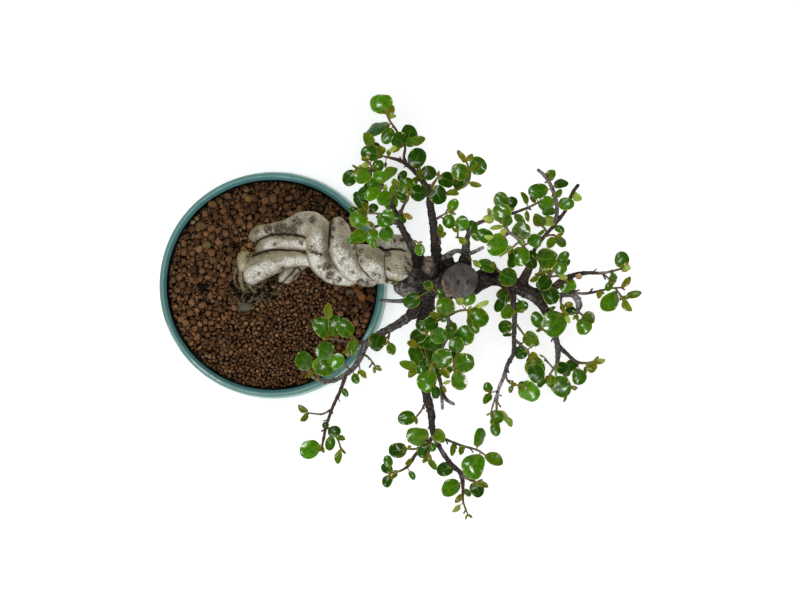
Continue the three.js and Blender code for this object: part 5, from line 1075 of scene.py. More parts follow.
PALE = [
    (497, 393, 9, 1.0), (502, 376, 6, 0.55), (499, 386, 7, 0.95), (507, 366, 4, 0.3), (579, 300, 10, 0.9),
    (436, 386, 6, 0.5), (441, 405, 8, 0.8), (437, 398, 6, 0.5), (452, 403, 8, 0.75), (604, 268, 9, 0.6),
    (415, 247, 7, 0.35), (443, 452, 6, 0.4), (466, 475, 6, 0.4), (529, 300, 6, 0.4),
]
ROSY = [
    (506, 232, 8, 0.9), (515, 240, 8, 0.9), (523, 248, 7, 0.6), (548, 188, 10, 0.9), (540, 172, 8, 0.9),
    (552, 202, 8, 0.6), (334, 340, 12, 0.7), (486, 250, 8, 0.4), (447, 291, 6, 0.9), (437, 286, 5, 0.8),
    (430, 268, 8, 0.85), (428, 260, 7, 0.9),
]
CREASE_WIDTH = 2.0


def marked(points, marks):
    """How strongly marks of the plan cover points: a hill for each, level to 0.35 of its radius and
    gone at 1.15 of it."""
    plan = plan_of(points)
    best = np.zeros(plan.shape[:-1])
    for x, y, radius, strength in marks:
        away = np.linalg.norm(plan - (x, y), axis=-1) / radius
        best = np.maximum(best, strength * (1 - step_between(away, 0.35, 1.15)))
    return best


def creased(points):
    """1 on the plan's creases, falling to 0 within a crease's width of them."""
    plan = plan_of(points)
    nearest = np.full(plan.shape[:-1], np.inf)
    for route in CREASES:
        shares = np.linspace(0, len(route) - 1, 12 * len(route))
        line = np.column_stack([np.interp(shares, np.arange(len(route)), axis) for axis in zip(*route)])
        nearest = np.minimum(nearest, np.linalg.norm(plan[..., None, :] - line, axis=-1).min(-1))
    return 1 - step_between(nearest, 0.3 * CREASE_WIDTH, CREASE_WIDTH)


# Trunk

# Relief of the silver strands and of the dark bark: rows as relief takes them
SILVER_RELIEF = [(0.045, 0.8, 11), (0.022, 0.6, 3.4), (0.01, 1.0, 1.5)]
DARK_RELIEF = [(0.07, 0.5, 6), (0.06, 0.4, 2.2), (0.035, 1.0, 1.0)]
STRAND_SIDES = 44
THICK_SIDES = 40
THIN_SIDES = 24
THICK_RADIUS = 4

# Width of the rounded seam between limbs, and how far the painted shade in its crevice reaches, in
# millimetres
FILLET = 1.9
CREVICE_REACH = 1.1

# The direction that tops face where the painted highlight is brightest, and limbs of BARK, by number, with
# fresh and dead wood
HIGHLIGHT_FACING = np.array([-0.12, -0.43, 0.895])
FRESH_BARK = {5: 0.3, 9: 0.35, 12: 0.1, 15: 0.3}
DEAD_BARK = {0: 0.12, 2: 0.35, 16: 0.7, 17: 0.3}


def strand_values(limb, grid, crevice):
    """What the silver bark reads at each point: creases with painted shade, stains that spread as painted
    shade onto sides facing down, a painted highlight on tops that face the light, and painted shade on sides
    facing down and back.
    """
    facing = limb["spokes"]
    # Painted highlight on tops that face the light, dimmed at a few places
    crest = step_between(facing @ HIGHLIGHT_FACING, 0.45, 0.98) * (1 - 0.75 * marked(grid, HIGHLIGHT_DIMMED))
    return {
        "crevice": np.maximum(crevice * (1 - marked(grid, MERGED)), creased(grid)),
        # Stain marks, and on sides that face down 0.45 of painted shade that darkens them as the stains do
        "dirt": np.maximum(marked(grid, DIRT), 0.45 * step_between(-facing[..., 2], 0.2, 0.9)),
        "lichen": marked(grid, LICHEN), "crest": crest,
        # Painted shade on sides that face down and to the back
        "shaded_sides": step_between(0.55 * facing[..., 1] - facing[..., 2], -0.75, 0.25),
    }


def wood_values(limb, grid, crevice, fresh, weather):
    """What the dark bark reads at each point: its age; painted shade where it lies deep or faces downward; a
    painted highlight where it faces upward.
    """
    up = limb["spokes"][..., 2]
    # Painted shade in the dark places of the crown and where limbs meet
    deep = np.maximum(marked(grid, PAINTED_SHADE_SPOTS), 0.9 * crevice)
    return {
        "fresh": fresh + np.zeros(up.shape), "weather": np.maximum(weather, marked(grid, PALE)),
        # Painted highlight on tops that face up; painted shade on those that face down
        "rosy": marked(grid, ROSY), "crest": step_between(up, 0.5, 1.0),
        "deep": np.maximum(deep, 0.6 * step_between(-up, -0.25, 0.6)),
    }


def trunk_pieces():
    """Silver strands and dark bark. Where two limbs meet, both swell by (fillet - distance)^2 / 4
    fillet, which rounds the seam between them as a smooth union does."""
    sides = [STRAND_SIDES] * len(STRANDS)
    sides += [THICK_SIDES if max(radii) > THICK_RADIUS else THIN_SIDES for _, radii in BARK]
    limbs = [tube(place(route), radii, count) for (route, radii), count in zip(STRANDS + BARK, sides)]
    forms = []
    for i, limb in enumerate(limbs):
        number = i - len(STRANDS)
        rise = relief(limb["skin"], SILVER_RELIEF if number < 0 else DARK_RELIEF, 40 + i, 20)
        away = depth_in(surface(limb, rise), limbs[:i] + limbs[i + 1:])
        swell = np.maximum(FILLET - np.abs(away), 0) ** 2 / (4 * FILLET)
        grid = surface(limb, rise + swell / limb["radius"][:, None])
        # 1 where limbs touch, fading with distance: it carries the painted shade of the creases
        crevice = np.exp(-np.maximum(away, 0) / CREVICE_REACH)
        if number < 0:
            values = strand_values(limb, grid, crevice)
        else:
            fresh, weather = FRESH_BARK.get(number, 0.0), DEAD_BARK.get(number, 0.0)
            values = wood_values(limb, grid, crevice, fresh, weather)
        skin = limb["skin"] + (0, 0, 37.0 * i)
        forms.append(form(grid, limb["start"], limb["end"], skin=skin, **values))
    return gather(forms[:len(STRANDS)]), gather(forms[len(STRANDS):])


# Leaves

# Kinds of leaf: how steeply they rise from the foot, how glossy they are, and their colour. The bright, dark
# and deep greens are lighter and darker copies of one green: painted light on leaves that face the light,
# painted shade on those below or turned away.
Kind = namedtuple("Kind", "lift gloss colour")
KINDS = {
    "bright": Kind(0.5, 1.2, (70, 119, 0)), "green": Kind(0.25, 0.8, (54, 98, 0)),
    "high": Kind(0.75, 1.0, (54, 98, 0)), "deep": Kind(0.55, 0.45, (36, 75, 0)),
    "dark": Kind(-0.1, 0.4, (33, 70, 0)), "olive": Kind(0.4, 0.6, (98, 110, 2)),
    "lime": Kind(0.45, 0.7, (76, 106, 0)), "pale": Kind(0.5, 0.2, (152, 174, 78)),
}
YOUNG = ("olive", "lime", "pale")
BROWN_TONE = tones((150, 112, 34))[0]

# Where a bright leaf faces, to shine
GLINT = np.array([-0.16, -0.35, 0.92])
TWIG_STEP = 11.0
FOOT_SPACING = 1.2
FINE_TWIG_RADIUS = 1.2

# Blade rows from the foot to the tip, and the eight points round each: place across and the face
ROWS = 0.5 - 0.5 * np.cos(np.pi * np.arange(10) / 10)
ACROSS = np.array([1.0, 0.6, 0.0, -0.6, -1.0, -0.6, 0.0, 0.6])
FACE = np.array([0.0, 1.0, 1.0, 1.0, 0.0, -1.0, -1.0, -1.0])
UPPER = 0.5 + 0.5 * FACE
PETIOLE_RADIUS = 0.26
BLADE_THICKNESS = 0.17


def twig_feet(twigs):
    """Points along a branch's twigs that a leaf may grow from, as in the part's source."""
    found = []
    for route, _ in twigs:
        points = place(route)
        spans = len(route) - 1
        track, _ = curve_through(points, np.linspace(0, 1, 201))
        length = np.linalg.norm(np.diff(track, axis=0), axis=1).sum()
        steps = spans * max(1, math.floor(length / TWIG_STEP / spans + 0.5))
        joints, _ = curve_through(points, np.linspace(0, 1, steps + 1))
        for a, b in zip(joints, joints[1:]):
            count = math.ceil(np.linalg.norm(b - a) / FOOT_SPACING)
            share = (np.arange(1, count + 1) - 0.3)[:, None] / count
            found.append(a + (b - a) * share)
    return np.vstack(found)


def leaf_frames(seed, leaves, feet):
    """For each leaf its foot, directions and sizes: the foot is the twig point about two thirds of a
    leaf from the blade's middle, on the side that its heading asks for."""
    draw = seeded_draws(seed)
    made = []
    for x, y, long, wide, kind, *heading in leaves:
        jitter = 1.6 * (draw() - 0.5)
        handed = 1 if draw() < 0.5 else -1
        length = long * PLAN_STEP
        offset = place([x, y, feet[0][2]])[:2] - feet[:, :2]
        distance = np.linalg.norm(offset, axis=1)
        score = np.maximum(0, distance - 0.6 * length) + 3 * np.maximum(0, 0.5 * length - distance)
        if heading:
            turn = math.radians(heading[0])
            along = offset @ (math.cos(turn), math.sin(turn)) / np.maximum(distance, 1e-6)
            score = score + np.where(distance > 0.1, 0.9 * length * (1 - along), 0)
        best = int(np.argmin(score))
        foot = feet[best]
        lift = KINDS[kind].lift * max(distance[best], 3) + jitter
        if kind == "bright":
            lift = max(0.4 * lift - 0.6 * (offset[best] @ GLINT[:2]) / GLINT[2], 0.3 * distance[best])
        forward = place([x, y, foot[2] + lift]) - foot
        reach = np.linalg.norm(forward)
        forward = forward / reach
        side = unit(np.cross((0.0, 0.0, 1.0), forward))
        up = np.cross(forward, side)
        if kind in YOUNG:
            width, angle = wide, 0.35 * handed
        else:
            width = max(wide, 0.75 * long)
            angle = math.acos(min(max(wide / (0.92 * long) / 0.815, 0.45), 1))
            angle = angle if (side @ GLINT < 0) == (kind == "bright") else -angle
        if kind == "bright":
            angle = min(max(math.atan2(-side @ GLINT, up @ GLINT), -0.5), 0.5)
        rolled = side * math.cos(angle) + up * math.sin(angle)
        up = up * math.cos(angle) - side * math.sin(angle)
        start = max(reach - length / 2, 0.8)
        made.append((foot, forward, rolled, up, start, reach + length / 2 - start, width * PLAN_STEP, kind))
    return made


def tuft_frames(seed, twigs):
    """Small young leaves round the end of every fine twig, as leaf_frames gives them."""
    rng = np.random.default_rng(seed + 7)
    made = []
    for route, radii in twigs:
        if min(radii) > FINE_TWIG_RADIUS:
            continue
        (end,), (ahead,) = curve_through(place(route), np.array([0.99]))
        across = unit(np.cross(ahead, (0.0, 0.0, 1.0)))
        for k in range(rng.integers(1, 4)):
            lean = (1 if k % 2 else -1) * rng.uniform(0.3, 1.1)
            forward = unit(ahead + across * lean + np.array([0, 0, rng.uniform(0.1, 0.9)]))
            side = unit(np.cross((0.0, 0.0, 1.0), forward))
            length = rng.uniform(1.8, 3.6)
            width = length * rng.uniform(0.4, 0.62)
            made.append((end, forward, side, np.cross(forward, side), 0.4, length, width, "olive"))
    return made


def leaf_form(seed, leaves, twigs):
    """Petioles that widen into blades. Half the width at share v is (2 sqrt(w - w^2))^e of the blade's
    half width, w = v^0.84 to 1.02; the midrib rises, bends down to the tip and sways; the halves arch
    or fold."""
    rng = np.random.default_rng(seed)
    made = leaf_frames(seed, leaves, twig_feet(twigs)) + tuft_frames(seed, twigs)
    foot, forward, side, up = (np.array([leaf[k] for leaf in made])[:, None, None, :] for k in range(4))
    start, length, width = (np.array([leaf[k] for leaf in made])[:, None, None] for k in (4, 5, 6))
    kinds = np.array([leaf[7] for leaf in made])
    nearer = np.minimum(0.38 * start, 0.8)
    start, length = start - nearer, length + nearer + 0.2
    count = len(made)
    young = np.isin(kinds, YOUNG)
    young_blade = young[:, None, None]

    def each(low, high):
        return rng.uniform(low, high, (count, 1, 1))

    v = ROWS[None, :, None]
    u = ACROSS[None, None, :]
    face = FACE[None, None, :]
    w = v ** each(0.84, 1.02)
    full = np.where(young_blade, 1.15, each(0.84, 1.04))
    breadth = np.maximum((2 * np.sqrt(w * (1 - w))) ** full * width * 0.53, 0.3)
    rise = 0.36 * width * w * (1 - w) - 0.08 * length * v**2
    arch = np.where(young_blade, each(0.1, 0.45), each(-0.28, -0.04))
    waved = 0.05 * width * np.sin(2 * np.pi * (1.4 * v + each(0, 1))) * u * np.abs(u)
    waved = waved + 0.03 * width * np.sin(2 * np.pi * (2.3 * v + each(0, 1))) * u**2
    sway = rng.normal(0, 0.05, (count, 1, 1)) * length * np.sin(np.pi * v)
    thick = BLADE_THICKNESS * face * (1 + 0.8 * (face < 0) * (u == 0) * (1 - v))
    thick = np.where(v < 0.02, 0.3 * face, thick)
    height = rise + arch * breadth * u**2 + waved + thick
    blade = foot + forward * (start + v * length)[..., None] + side * (u * breadth + sway)[..., None]
    blade = blade + up * height[..., None]

    # Petiole: two rings between the foot and the blade
    angle = angles_round(len(ACROSS))
    circle = PETIOLE_RADIUS * (np.cos(angle)[:, None] * side + np.sin(angle)[:, None] * up)
    halfway = foot + forward * (0.5 * start)[..., None]
    grid = np.concatenate([foot + circle * 1.25, halfway + circle, blade], axis=1)
    tip = (foot + forward * (start + length)[..., None] - up * (0.075 * length)[..., None])[:, 0, 0]

    tone = tones(*(KINDS[kind].colour for kind in kinds)) * rng.uniform(0.82, 1.2, (count, 1))
    tone = tone * (1 + rng.normal(0, 0.06, (count, 3)))
    brown = ((kinds == "olive") * rng.uniform(-1.0, 0.4, count)).clip(0)[:, None]
    along = np.concatenate([[0, 0], ROWS])[None, :, None]
    rim = np.where(young, 0.4, rng.uniform(0.1, 1.0, count))
    blush = np.where(young, rng.uniform(0.0, 0.9, count), rng.uniform(-0.4, 0.25, count).clip(0))
    gloss = np.array([KINDS[kind].gloss for kind in kinds]) * rng.uniform(0.5, 1.3, count)
    return copies(
        grid, foot[:, 0, 0], tip, tone=tone * (1 - brown) + BROWN_TONE * brown,
        blade=np.stack([np.broadcast_to(part, grid.shape[:3]) for part in (u, along, UPPER)], -1),
        rim=rim, blush=blush * np.where(kinds == "lime", 0.35, 1.0), gloss=gloss,
    )


def sharpen_edges(made):
    """The two faces of a blade meet sharply: edges between points at its margin are marked."""
    mesh = made.data
    blade = np.empty(len(mesh.vertices) * 3)
    mesh.attributes["blade"].data.foreach_get("vector", blade)
    across, along, _ = blade.reshape(-1, 3).T
    ends = np.empty(len(mesh.edges) * 2, int)
    mesh.edges.foreach_get("vertices", ends)
    ends = ends.reshape(-1, 2)
    sharp = (np.abs(across[ends]) > 0.99).all(1) & (along[ends].max(1) > 0.01)
    mesh.attributes.new("sharp_edge", "BOOLEAN", "EDGE").data.foreach_set("value", sharp)


# Twigs

TWIG_RELIEF = [(0.065, 0.4, 2.2), (0.04, 1.0, 1.1)]
THICK_TWIG_RADIUS = 1.5
THICK_TWIG_SIDES = 14
FINE_TWIG_SIDES = 10
NODE_SPACING = 4.6
NODE_SWELL = 0.16
NODE_REACH = 0.6
SPUR_SHARE = 0.55
SPUR_SIDES = 6
SPUR_SHARES = np.array([0.0, 0.3, 0.55, 0.7, 0.85, 0.95])
SPUR_RADII = np.array([1.15, 0.85, 0.8, 1.15, 0.95, 0.5])


def slender(radii):
    """Twigs are finer than their solids: a share of the radius that grows from 0.64 to 0.9."""
    radii = np.asarray(radii, float)
    return radii * (0.64 + 0.26 * step_between(radii, 0.9, 2.4))


def spur_forms(feet, ahead, lengths, radii, fresh):
    """Short spurs: six-sided stalks that narrow, and swell to a bud at the tip."""
    across = unit(np.cross(ahead, (0.31, 0.2, 0.93)))
    other = np.cross(ahead, across)
    angle = angles_round(SPUR_SIDES)[None, :, None]
    spokes = np.cos(angle) * across[:, None] + np.sin(angle) * other[:, None]
    spine = feet[:, None] + ahead[:, None] * (SPUR_SHARES * lengths[:, None])[..., None]
    grid = spine[:, :, None] + spokes[:, None] * (SPUR_RADII * radii[:, None])[..., None, None]
    plain = np.zeros(len(feet))
    return copies(grid, feet, feet + ahead * lengths[:, None], skin=grid, fresh=fresh, weather=plain,
                  rosy=plain, crest=plain, deep=plain)


def twig_form(seed, twigs):
    """A branch's wood: tapering tubes with swollen nodes every few millimetres and wrinkled bark, and
    short spurs ending in a bud, set round them at the nodes."""
    rng = np.random.default_rng(seed)
    forms, spurs = [], []
    for i, (route, radii) in enumerate(twigs):
        sides = THICK_TWIG_SIDES if max(radii) > THICK_TWIG_RADIUS else FINE_TWIG_SIDES
        limb = tube(place(route), slender(radii), sides)
        centres, radius, reach = limb["centres"], limb["radius"], limb["reach"]
        rise = relief(limb["skin"], TWIG_RELIEF, seed + 10 * i, 1)
        nodes = np.arange(rng.uniform(2, 5), reach[-1] - 1, NODE_SPACING)
        nodes = nodes + rng.uniform(-1.2, 1.2, len(nodes))
        for node in nodes:
            rise = rise + NODE_SWELL * np.exp(-(((reach[:, None] - node) / NODE_REACH) ** 2))
        shoot = step_between(reach, reach[-1] - 11.0, reach[-1] - 2.0) * (min(radii) < 1.0)
        fresh = 1 - step_between(radius, 0.55, 1.25) + shoot
        weather = max(0.0, rng.uniform(-0.5, 0.35))
        grid = surface(limb, rise)
        values = wood_values(limb, grid, 0.0, fresh[:, None], weather)
        forms.append(form(grid, limb["start"], limb["end"], skin=limb["skin"] + (0, 0, 23.0 * i), **values))
        for node in nodes:
            if rng.uniform() < SPUR_SHARE:
                k = int(np.argmin(np.abs(reach - node)))
                spoke = limb["spokes"][k, rng.integers(sides)]
                ahead = unit(spoke + limb["forward"][k] * rng.uniform(0.3, 1.4) + (0, 0, 0.3))
                length = rng.uniform(1.2, 3.0) + radius[k] * 0.5
                foot = centres[k] + spoke * radius[k] * 0.5
                spurs.append((foot, ahead, length, rng.uniform(0.34, 0.5), min(1.0, fresh[k] + 0.4)))
    if spurs:
        forms.append(spur_forms(*(np.array(column) for column in zip(*spurs))))
    return gather(forms)


# Pot and sealed cut

POT_SIDES = 240
CUT_SIDES = 96
WOUND_SIDES = 24

# The pot's profile: radius, height, and reach of the bend at each corner
POT_PROFILE = [
    (8, 5, 0.6), (36, 5, 1.0), (36, 0, 0.9), (42, 0, 0.9), (43, 5, 1.4), (52.5, 12, 6), (57.8, 22, 7),
    (60.2, 38, 9), (57.8, 53.5, 2.0), (RIM_OUTER_RADIUS, 56.4, 1.0), (56.4, POT_HEIGHT, 1.5),
    (RIM_INNER_RADIUS, 56.4, 1.0), (55, 50, 3), (55.2, 38, 7), (50, 18, 6), (44, FLOOR_TOP, 3),
    (8, FLOOR_TOP, 0.6),
]
FOOT_MIDDLE_RADIUS = 39.0

# Painted reflections on the lip: pale arcs, each with its middle and reach in degrees round the pot, radius
# and width
LIP_GLINT_ARCS = [(332, 6, 55.6, 0.35), (322, 5, 55.7, 0.35), (233, 12, 56.6, 0.25), (208, 9, 57.8, 0.3)]
NICKS = [(458.2, 282.4), (467.6, 282.0)]


def rounded(profile):
    """A profile of (radius, height, blend): each corner becomes a quadratic bend that starts and ends
    at most `blend` from it."""
    points = np.array(profile, float)
    made = []
    for i, (here, blend) in enumerate(zip(points[:, :2], points[:, 2])):
        before, after = points[i - 1, :2], points[(i + 1) % len(points), :2]
        a = here + unit(before - here) * min(blend, 0.45 * np.linalg.norm(before - here))
        b = here + unit(after - here) * min(blend, 0.45 * np.linalg.norm(after - here))
        t = np.linspace(0, 1, 7)[:, None]
        made.append((1 - t) ** 2 * a + 2 * t * (1 - t) * here + t**2 * b)
    return np.vstack(made)


def glaze_values(radius, height, angle):
    """What the glaze reads: thin on the rim, pooled inside it and above the foot, pale in short arcs of the
    lip as a painted reflection, and bare below an uneven line and on the floor."""
    outer = step_between(radius, 56.0, 57.4)
    thin = step_between(height, 55.2, 57.6) * (0.35 + 0.65 * outer) * (0.62 - 0.38 * np.cos(angle - 0.5))
    in_lip = 0.9 * np.exp(-(((radius - 55.4) / 0.7) ** 2)) * step_between(height, 55.2, 56.6)
    over_foot = 0.5 * np.exp(-(((height - 12.5) / 4.0) ** 2)) * step_between(radius, 44, 48)
    lip_glints = sum(
        np.exp(-(((radius - at) / width) ** 2))
        * step_between(np.abs(np.degrees(angle) - middle), reach, 0.6 * reach)
        for middle, reach, at, width in LIP_GLINT_ARCS
    ) * step_between(height, 55.0, 56.5)
    uneven = 0.5 * np.sin(3 * angle + 1.0) + 0.3 * np.sin(7 * angle)
    bare = 1 - step_between(height + uneven, 5.2, 6.4)
    on_floor = np.maximum(bare, step_between(height, 6.0, 9.0) * (radius < 45))
    bare = np.where((radius < 53) & (height < 11), on_floor, bare)
    return {"thin": thin, "pooled": in_lip + over_foot, "lip_glints": lip_glints, "bare": np.clip(bare, 0, 1)}


def pot_form():
    """The pot's profile turned about its axis, with a faint hand-thrown sway; the foot ring is lifted
    between smooth limits where its three notches are. The last ring is joined to the first."""
    profile = rounded(POT_PROFILE)
    radius, height = profile[:, :1], profile[:, 1:]
    angle = angles_round(POT_SIDES)[None]
    sway = 0.12 * np.sin(2 * angle + 0.7) + 0.07 * np.sin(5 * angle + 2.0)
    third = 2 * np.pi / 3
    notch_middle = np.pi / 3 + third * np.round((angle - np.pi / 3) / third)
    sideways = np.abs(FOOT_MIDDLE_RADIUS * np.sin(angle - notch_middle))
    notch = 1 - step_between(sideways, FOOT_NOTCH_WIDTH / 2 - 0.9, FOOT_NOTCH_WIDTH / 2)
    in_foot = step_between(radius, 34.0, 35.9) * (1 - step_between(height, 4.0, 4.9))
    z = height + (np.maximum(height, FOOT_NOTCH_HEIGHT) - height) * notch * in_foot
    grid = spun(radius + sway * step_between(height, 8, 30), z, angle)
    number = np.arange(grid.shape[0] * POT_SIDES).reshape(-1, POT_SIDES)
    above = np.roll(number, -1, axis=0)
    quads = np.stack([above, np.roll(above, -1, axis=1), np.roll(number, -1, axis=1), number], -1)
    values = glaze_values(np.broadcast_to(radius, z.shape), z, angle)
    return {
        "points": grid.reshape(-1, 3), "faces": (quads.reshape(-1, 4), np.empty((0, 3), int)),
        "values": {name: value.ravel() for name, value in values.items()},
    }


def cut_form():
    """The sealed cut: rings of a low dome over an upright edge, its outline and top gently uneven,
    with two narrow nicks pressed in and marked for painted shade."""
    bottom = CUT_TOP - CUT_THICKNESS
    middle = place([*CUT_PLAN, CUT_TOP]) * (1, 1, 0)
    profile = rounded([
        (0.6, bottom, 0.1), (8.25, bottom, 0.4), (CUT_RADIUS, bottom + 0.9, 0.6), (8.2, CUT_TOP - 0.6, 1.1),
        (6.0, CUT_TOP - 0.12, 2.0), (3.0, CUT_TOP, 1.0), (0.6, CUT_TOP, 0.1),
    ])[4:-4]
    inner = [(radius, CUT_TOP) for radius in (4.6, 3.8, 3.0, 2.2, 1.4)]
    profile = np.vstack([profile[profile[:, 0] > 5.0], inner])
    angle = angles_round(CUT_SIDES)
    spread = profile[:, :1] * (1 + 0.025 * np.sin(2 * angle + 0.5) + 0.018 * np.sin(5 * angle))
    grid = spun(spread, profile[:, 1:], angle) + middle
    top = step_between(grid[..., 2], bottom + 1.2, CUT_TOP - 0.5)
    grid[..., 2] += top * 0.12 * ripples(grid, 5.0, 3) - top * 0.1
    plan = plan_of(grid)
    nick = np.zeros(plan.shape[:2])
    for x, y in NICKS:
        nick = np.maximum(nick, np.exp(-(((plan[..., 0] - x) / 0.9) ** 2) - ((plan[..., 1] - y) / 2.3) ** 2))
    grid[..., 2] -= top * nick * 0.7
    return form(grid, middle + (0, 0, bottom), middle + (0, 0, CUT_TOP - 0.1), nick=nick)


def wound_form(plan, facing, radius, dish):
    """A healed or hollow cut: rings from its edge to its middle, raised by a dome or sunk by a dish,
    over a closed back."""
    middle, ahead = place(plan), unit(np.array(facing, float))
    across = unit(np.cross(ahead, (0.2, 1.0, 0.1)))
    other = np.cross(ahead, across)
    angle = angles_round(WOUND_SIDES)
    out = np.array([0.5, 1.0, 1.12, 1.0, 0.86, 0.66, 0.4, 0.16])[:, None]
    out = out * (1 + 0.06 * np.sin(2 * angle + 1.0) + 0.05 * np.sin(3 * angle))
    up = np.array([-0.5, -0.45, -0.1, 0.22, 0.12 + 0.1 * dish, 0.6 * dish, dish, dish])
    grid = middle + radius * (
        (out * np.cos(angle))[..., None] * across + (out * np.sin(angle))[..., None] * other
        + up[:, None, None] * ahead
    )
    plain = np.zeros(grid.shape[:2])
    return form(grid, middle - 0.5 * radius * ahead, middle + dish * radius * ahead, skin=grid - middle,
                fresh=plain, weather=plain)


# Soil and granules

BED_SIDES = 120
BED_RADIUS = 54.0
BED_SUNK = 1.0
BALL_CUTS = 2
SMOOTH_BALL_CUTS = 4
GRANULE_TONES = tones(
    (116, 82, 53), (104, 72, 46), (90, 62, 40), (132, 96, 64), (78, 54, 36), (112, 80, 56),
)
TAN_TONE, GREY_TONE = tones((134, 96, 64), (128, 116, 100))

# Darker soil: plan x and y, radius and strength. The patches at the back, under the trunk and crown, are
# painted shadow; the rest darken soil round the trunk's foot.
DARKER_SOIL = [
    (235, 248, 9, 0.8), (230, 240, 6, 0.6), (262, 290, 14, 0.8), (243, 298, 9, 0.5), (272, 284, 7, 0.7),
    (296, 186, 14, 0.35), (330, 192, 14, 0.4), (352, 291, 7, 0.4), (285, 262, 8, 0.5),
]


def soil_height(radius):
    return SOIL_EDGE_HEIGHT + SOIL_CROWN * (1 - (radius / RIM_INNER_RADIUS) ** 2)


def soil_place(plan):
    """Plan points (x, y, height above the soil) as millimetres about the pot."""
    plan = np.array(plan, float)
    flat = place(np.column_stack([plan[:, :2], np.full(len(plan), SOIL_EDGE_HEIGHT)]))
    flat[:, 2] = soil_height(np.hypot(flat[:, 0], flat[:, 1])) + plan[:, 2]
    return flat


def soil_bed_form():
    """Fine soil between the granules: rings from the bottom's middle, up the pot's wall and in over
    the low crown to its middle. Its near-black tone is painted shade, for the gaps between granules."""
    bottom = 9.8
    under = [(6.0, bottom), (20.0, bottom), (32.0, bottom), (42.8, bottom), (48.6, 18.4), (53.4, 36.0),
             (BED_RADIUS, 50.0)]
    top = [(radius, soil_height(radius) - BED_SUNK) for radius in np.linspace(BED_RADIUS, 1.5, 36)]
    profile = np.array(under + top)
    grid = spun(profile[:, :1], profile[:, 1:], angles_round(BED_SIDES))
    above = step_between(grid[..., 2], 48, 51)
    grid[..., 2] += above * 0.35 * ripples(grid * (1, 1, 0), 2.6, 5)
    return form(grid, np.array([0, 0, bottom]), np.array([0, 0, soil_height(0) - BED_SUNK]),
                tone=np.broadcast_to(tones((18, 10, 6)), grid.shape), shade=np.ones(grid.shape[:2]))


def ball_layout(cuts):
    """Points and outward faces of a cube cut in cuts x cuts on each side and blown up to a ball."""
    steps = np.linspace(-1, 1, cuts + 1)
    points, index, faces = [], {}, []

    def at(p):
        key = tuple(np.round(p, 6))
        if key not in index:
            index[key] = len(points)
            points.append(np.array(p) / np.linalg.norm(p))
        return index[key]

    for axis in range(3):
        for sign in (-1, 1):
            for i in range(cuts):
                for j in range(cuts):
                    corners = []
                    for di, dj in ((0, 0), (1, 0), (1, 1), (0, 1)):
                        p = [0.0, 0.0, 0.0]
                        p[axis], p[(axis + 1) % 3], p[(axis + 2) % 3] = sign, steps[i + di], steps[j + dj]
                        corners.append(at(p))
                    faces.append(corners if sign > 0 else corners[::-1])
    return np.array(points), np.array(faces)


BALL = ball_layout(BALL_CUTS)
SMOOTH_BALL = ball_layout(SMOOTH_BALL_CUTS)


def lumps(centres, sizes, rng, rough, tone=None, level=False):
    """Many uneven lumps: balls stretched by sizes (count, 3), each point moved in or out by a random
    share up to `rough`. They are turned at random, or `level` and of more points. Their undersides
    are in the shade, and each has its own tone where tones are given."""
    ball_points, ball_faces = SMOOTH_BALL if level else BALL
    count = len(centres)
    turn = rng.normal(size=(count, 4))
    a, b, c, d = unit(turn).T
    turned = np.stack([
        np.stack([1 - 2 * (c * c + d * d), 2 * (b * c - a * d), 2 * (b * d + a * c)], -1),
        np.stack([2 * (b * c + a * d), 1 - 2 * (b * b + d * d), 2 * (c * d - a * b)], -1),
        np.stack([2 * (b * d - a * c), 2 * (c * d + a * b), 1 - 2 * (b * b + c * c)], -1),
    ], 1)
    if level:
        turned = np.broadcast_to(np.eye(3), (count, 3, 3))
    push = 1 + rng.uniform(-rough, rough, (count, len(ball_points), 1))
    points = np.einsum("nij,nkj->nki", turned, ball_points[None] * push * sizes[:, None])
    lowness = -points[..., 2] / (sizes.mean(1)[:, None] + 1e-9)
    points = points + centres[:, None]
    faces = ball_faces[None] + (np.arange(count) * len(ball_points))[:, None, None]
    values = {"shade": step_between(lowness, 0.3, -0.8).ravel()}
    if tone is not None:
        values["tone"] = np.repeat(tone, len(ball_points), axis=0)
    return {
        "points": points.reshape(-1, 3), "faces": (faces.reshape(-1, 4), np.empty((0, 3), int)),
        "values": values,
    }


def scatter(rng, tries, low, high, spacing):
    """Random places on the soil, each with a radius: a place is kept if it is clear of the kept ones
    by `spacing` of their radii together. Granules are larger at the left, the back and the right."""
    places = rng.uniform(-BED_RADIUS, BED_RADIUS, (tries, 2))
    places = places[np.linalg.norm(places, axis=1) < BED_RADIUS - 0.9]
    coarse = step_between(places[:, 1] * 0.7 - places[:, 0] * 0.7, -30, 30)
    coarse = np.maximum(coarse, step_between(places[:, 0], 24, 40))
    size = low + (high - low) * rng.uniform(0, 1, len(places)) ** 3.0 * (0.35 + 0.65 * coarse)
    size = size * (0.9 + 0.2 * coarse)
    kept = np.empty((0, 3))
    for k in np.argsort(-size):
        here = places[k]
        clear = np.hypot(kept[:, 0] - here[0], kept[:, 1] - here[1]) > spacing * (kept[:, 2] + size[k])
        if clear.all() and np.linalg.norm(here) + size[k] < BED_RADIUS + 0.1:
            kept = np.vstack([kept, [*here, size[k]]])
    return kept


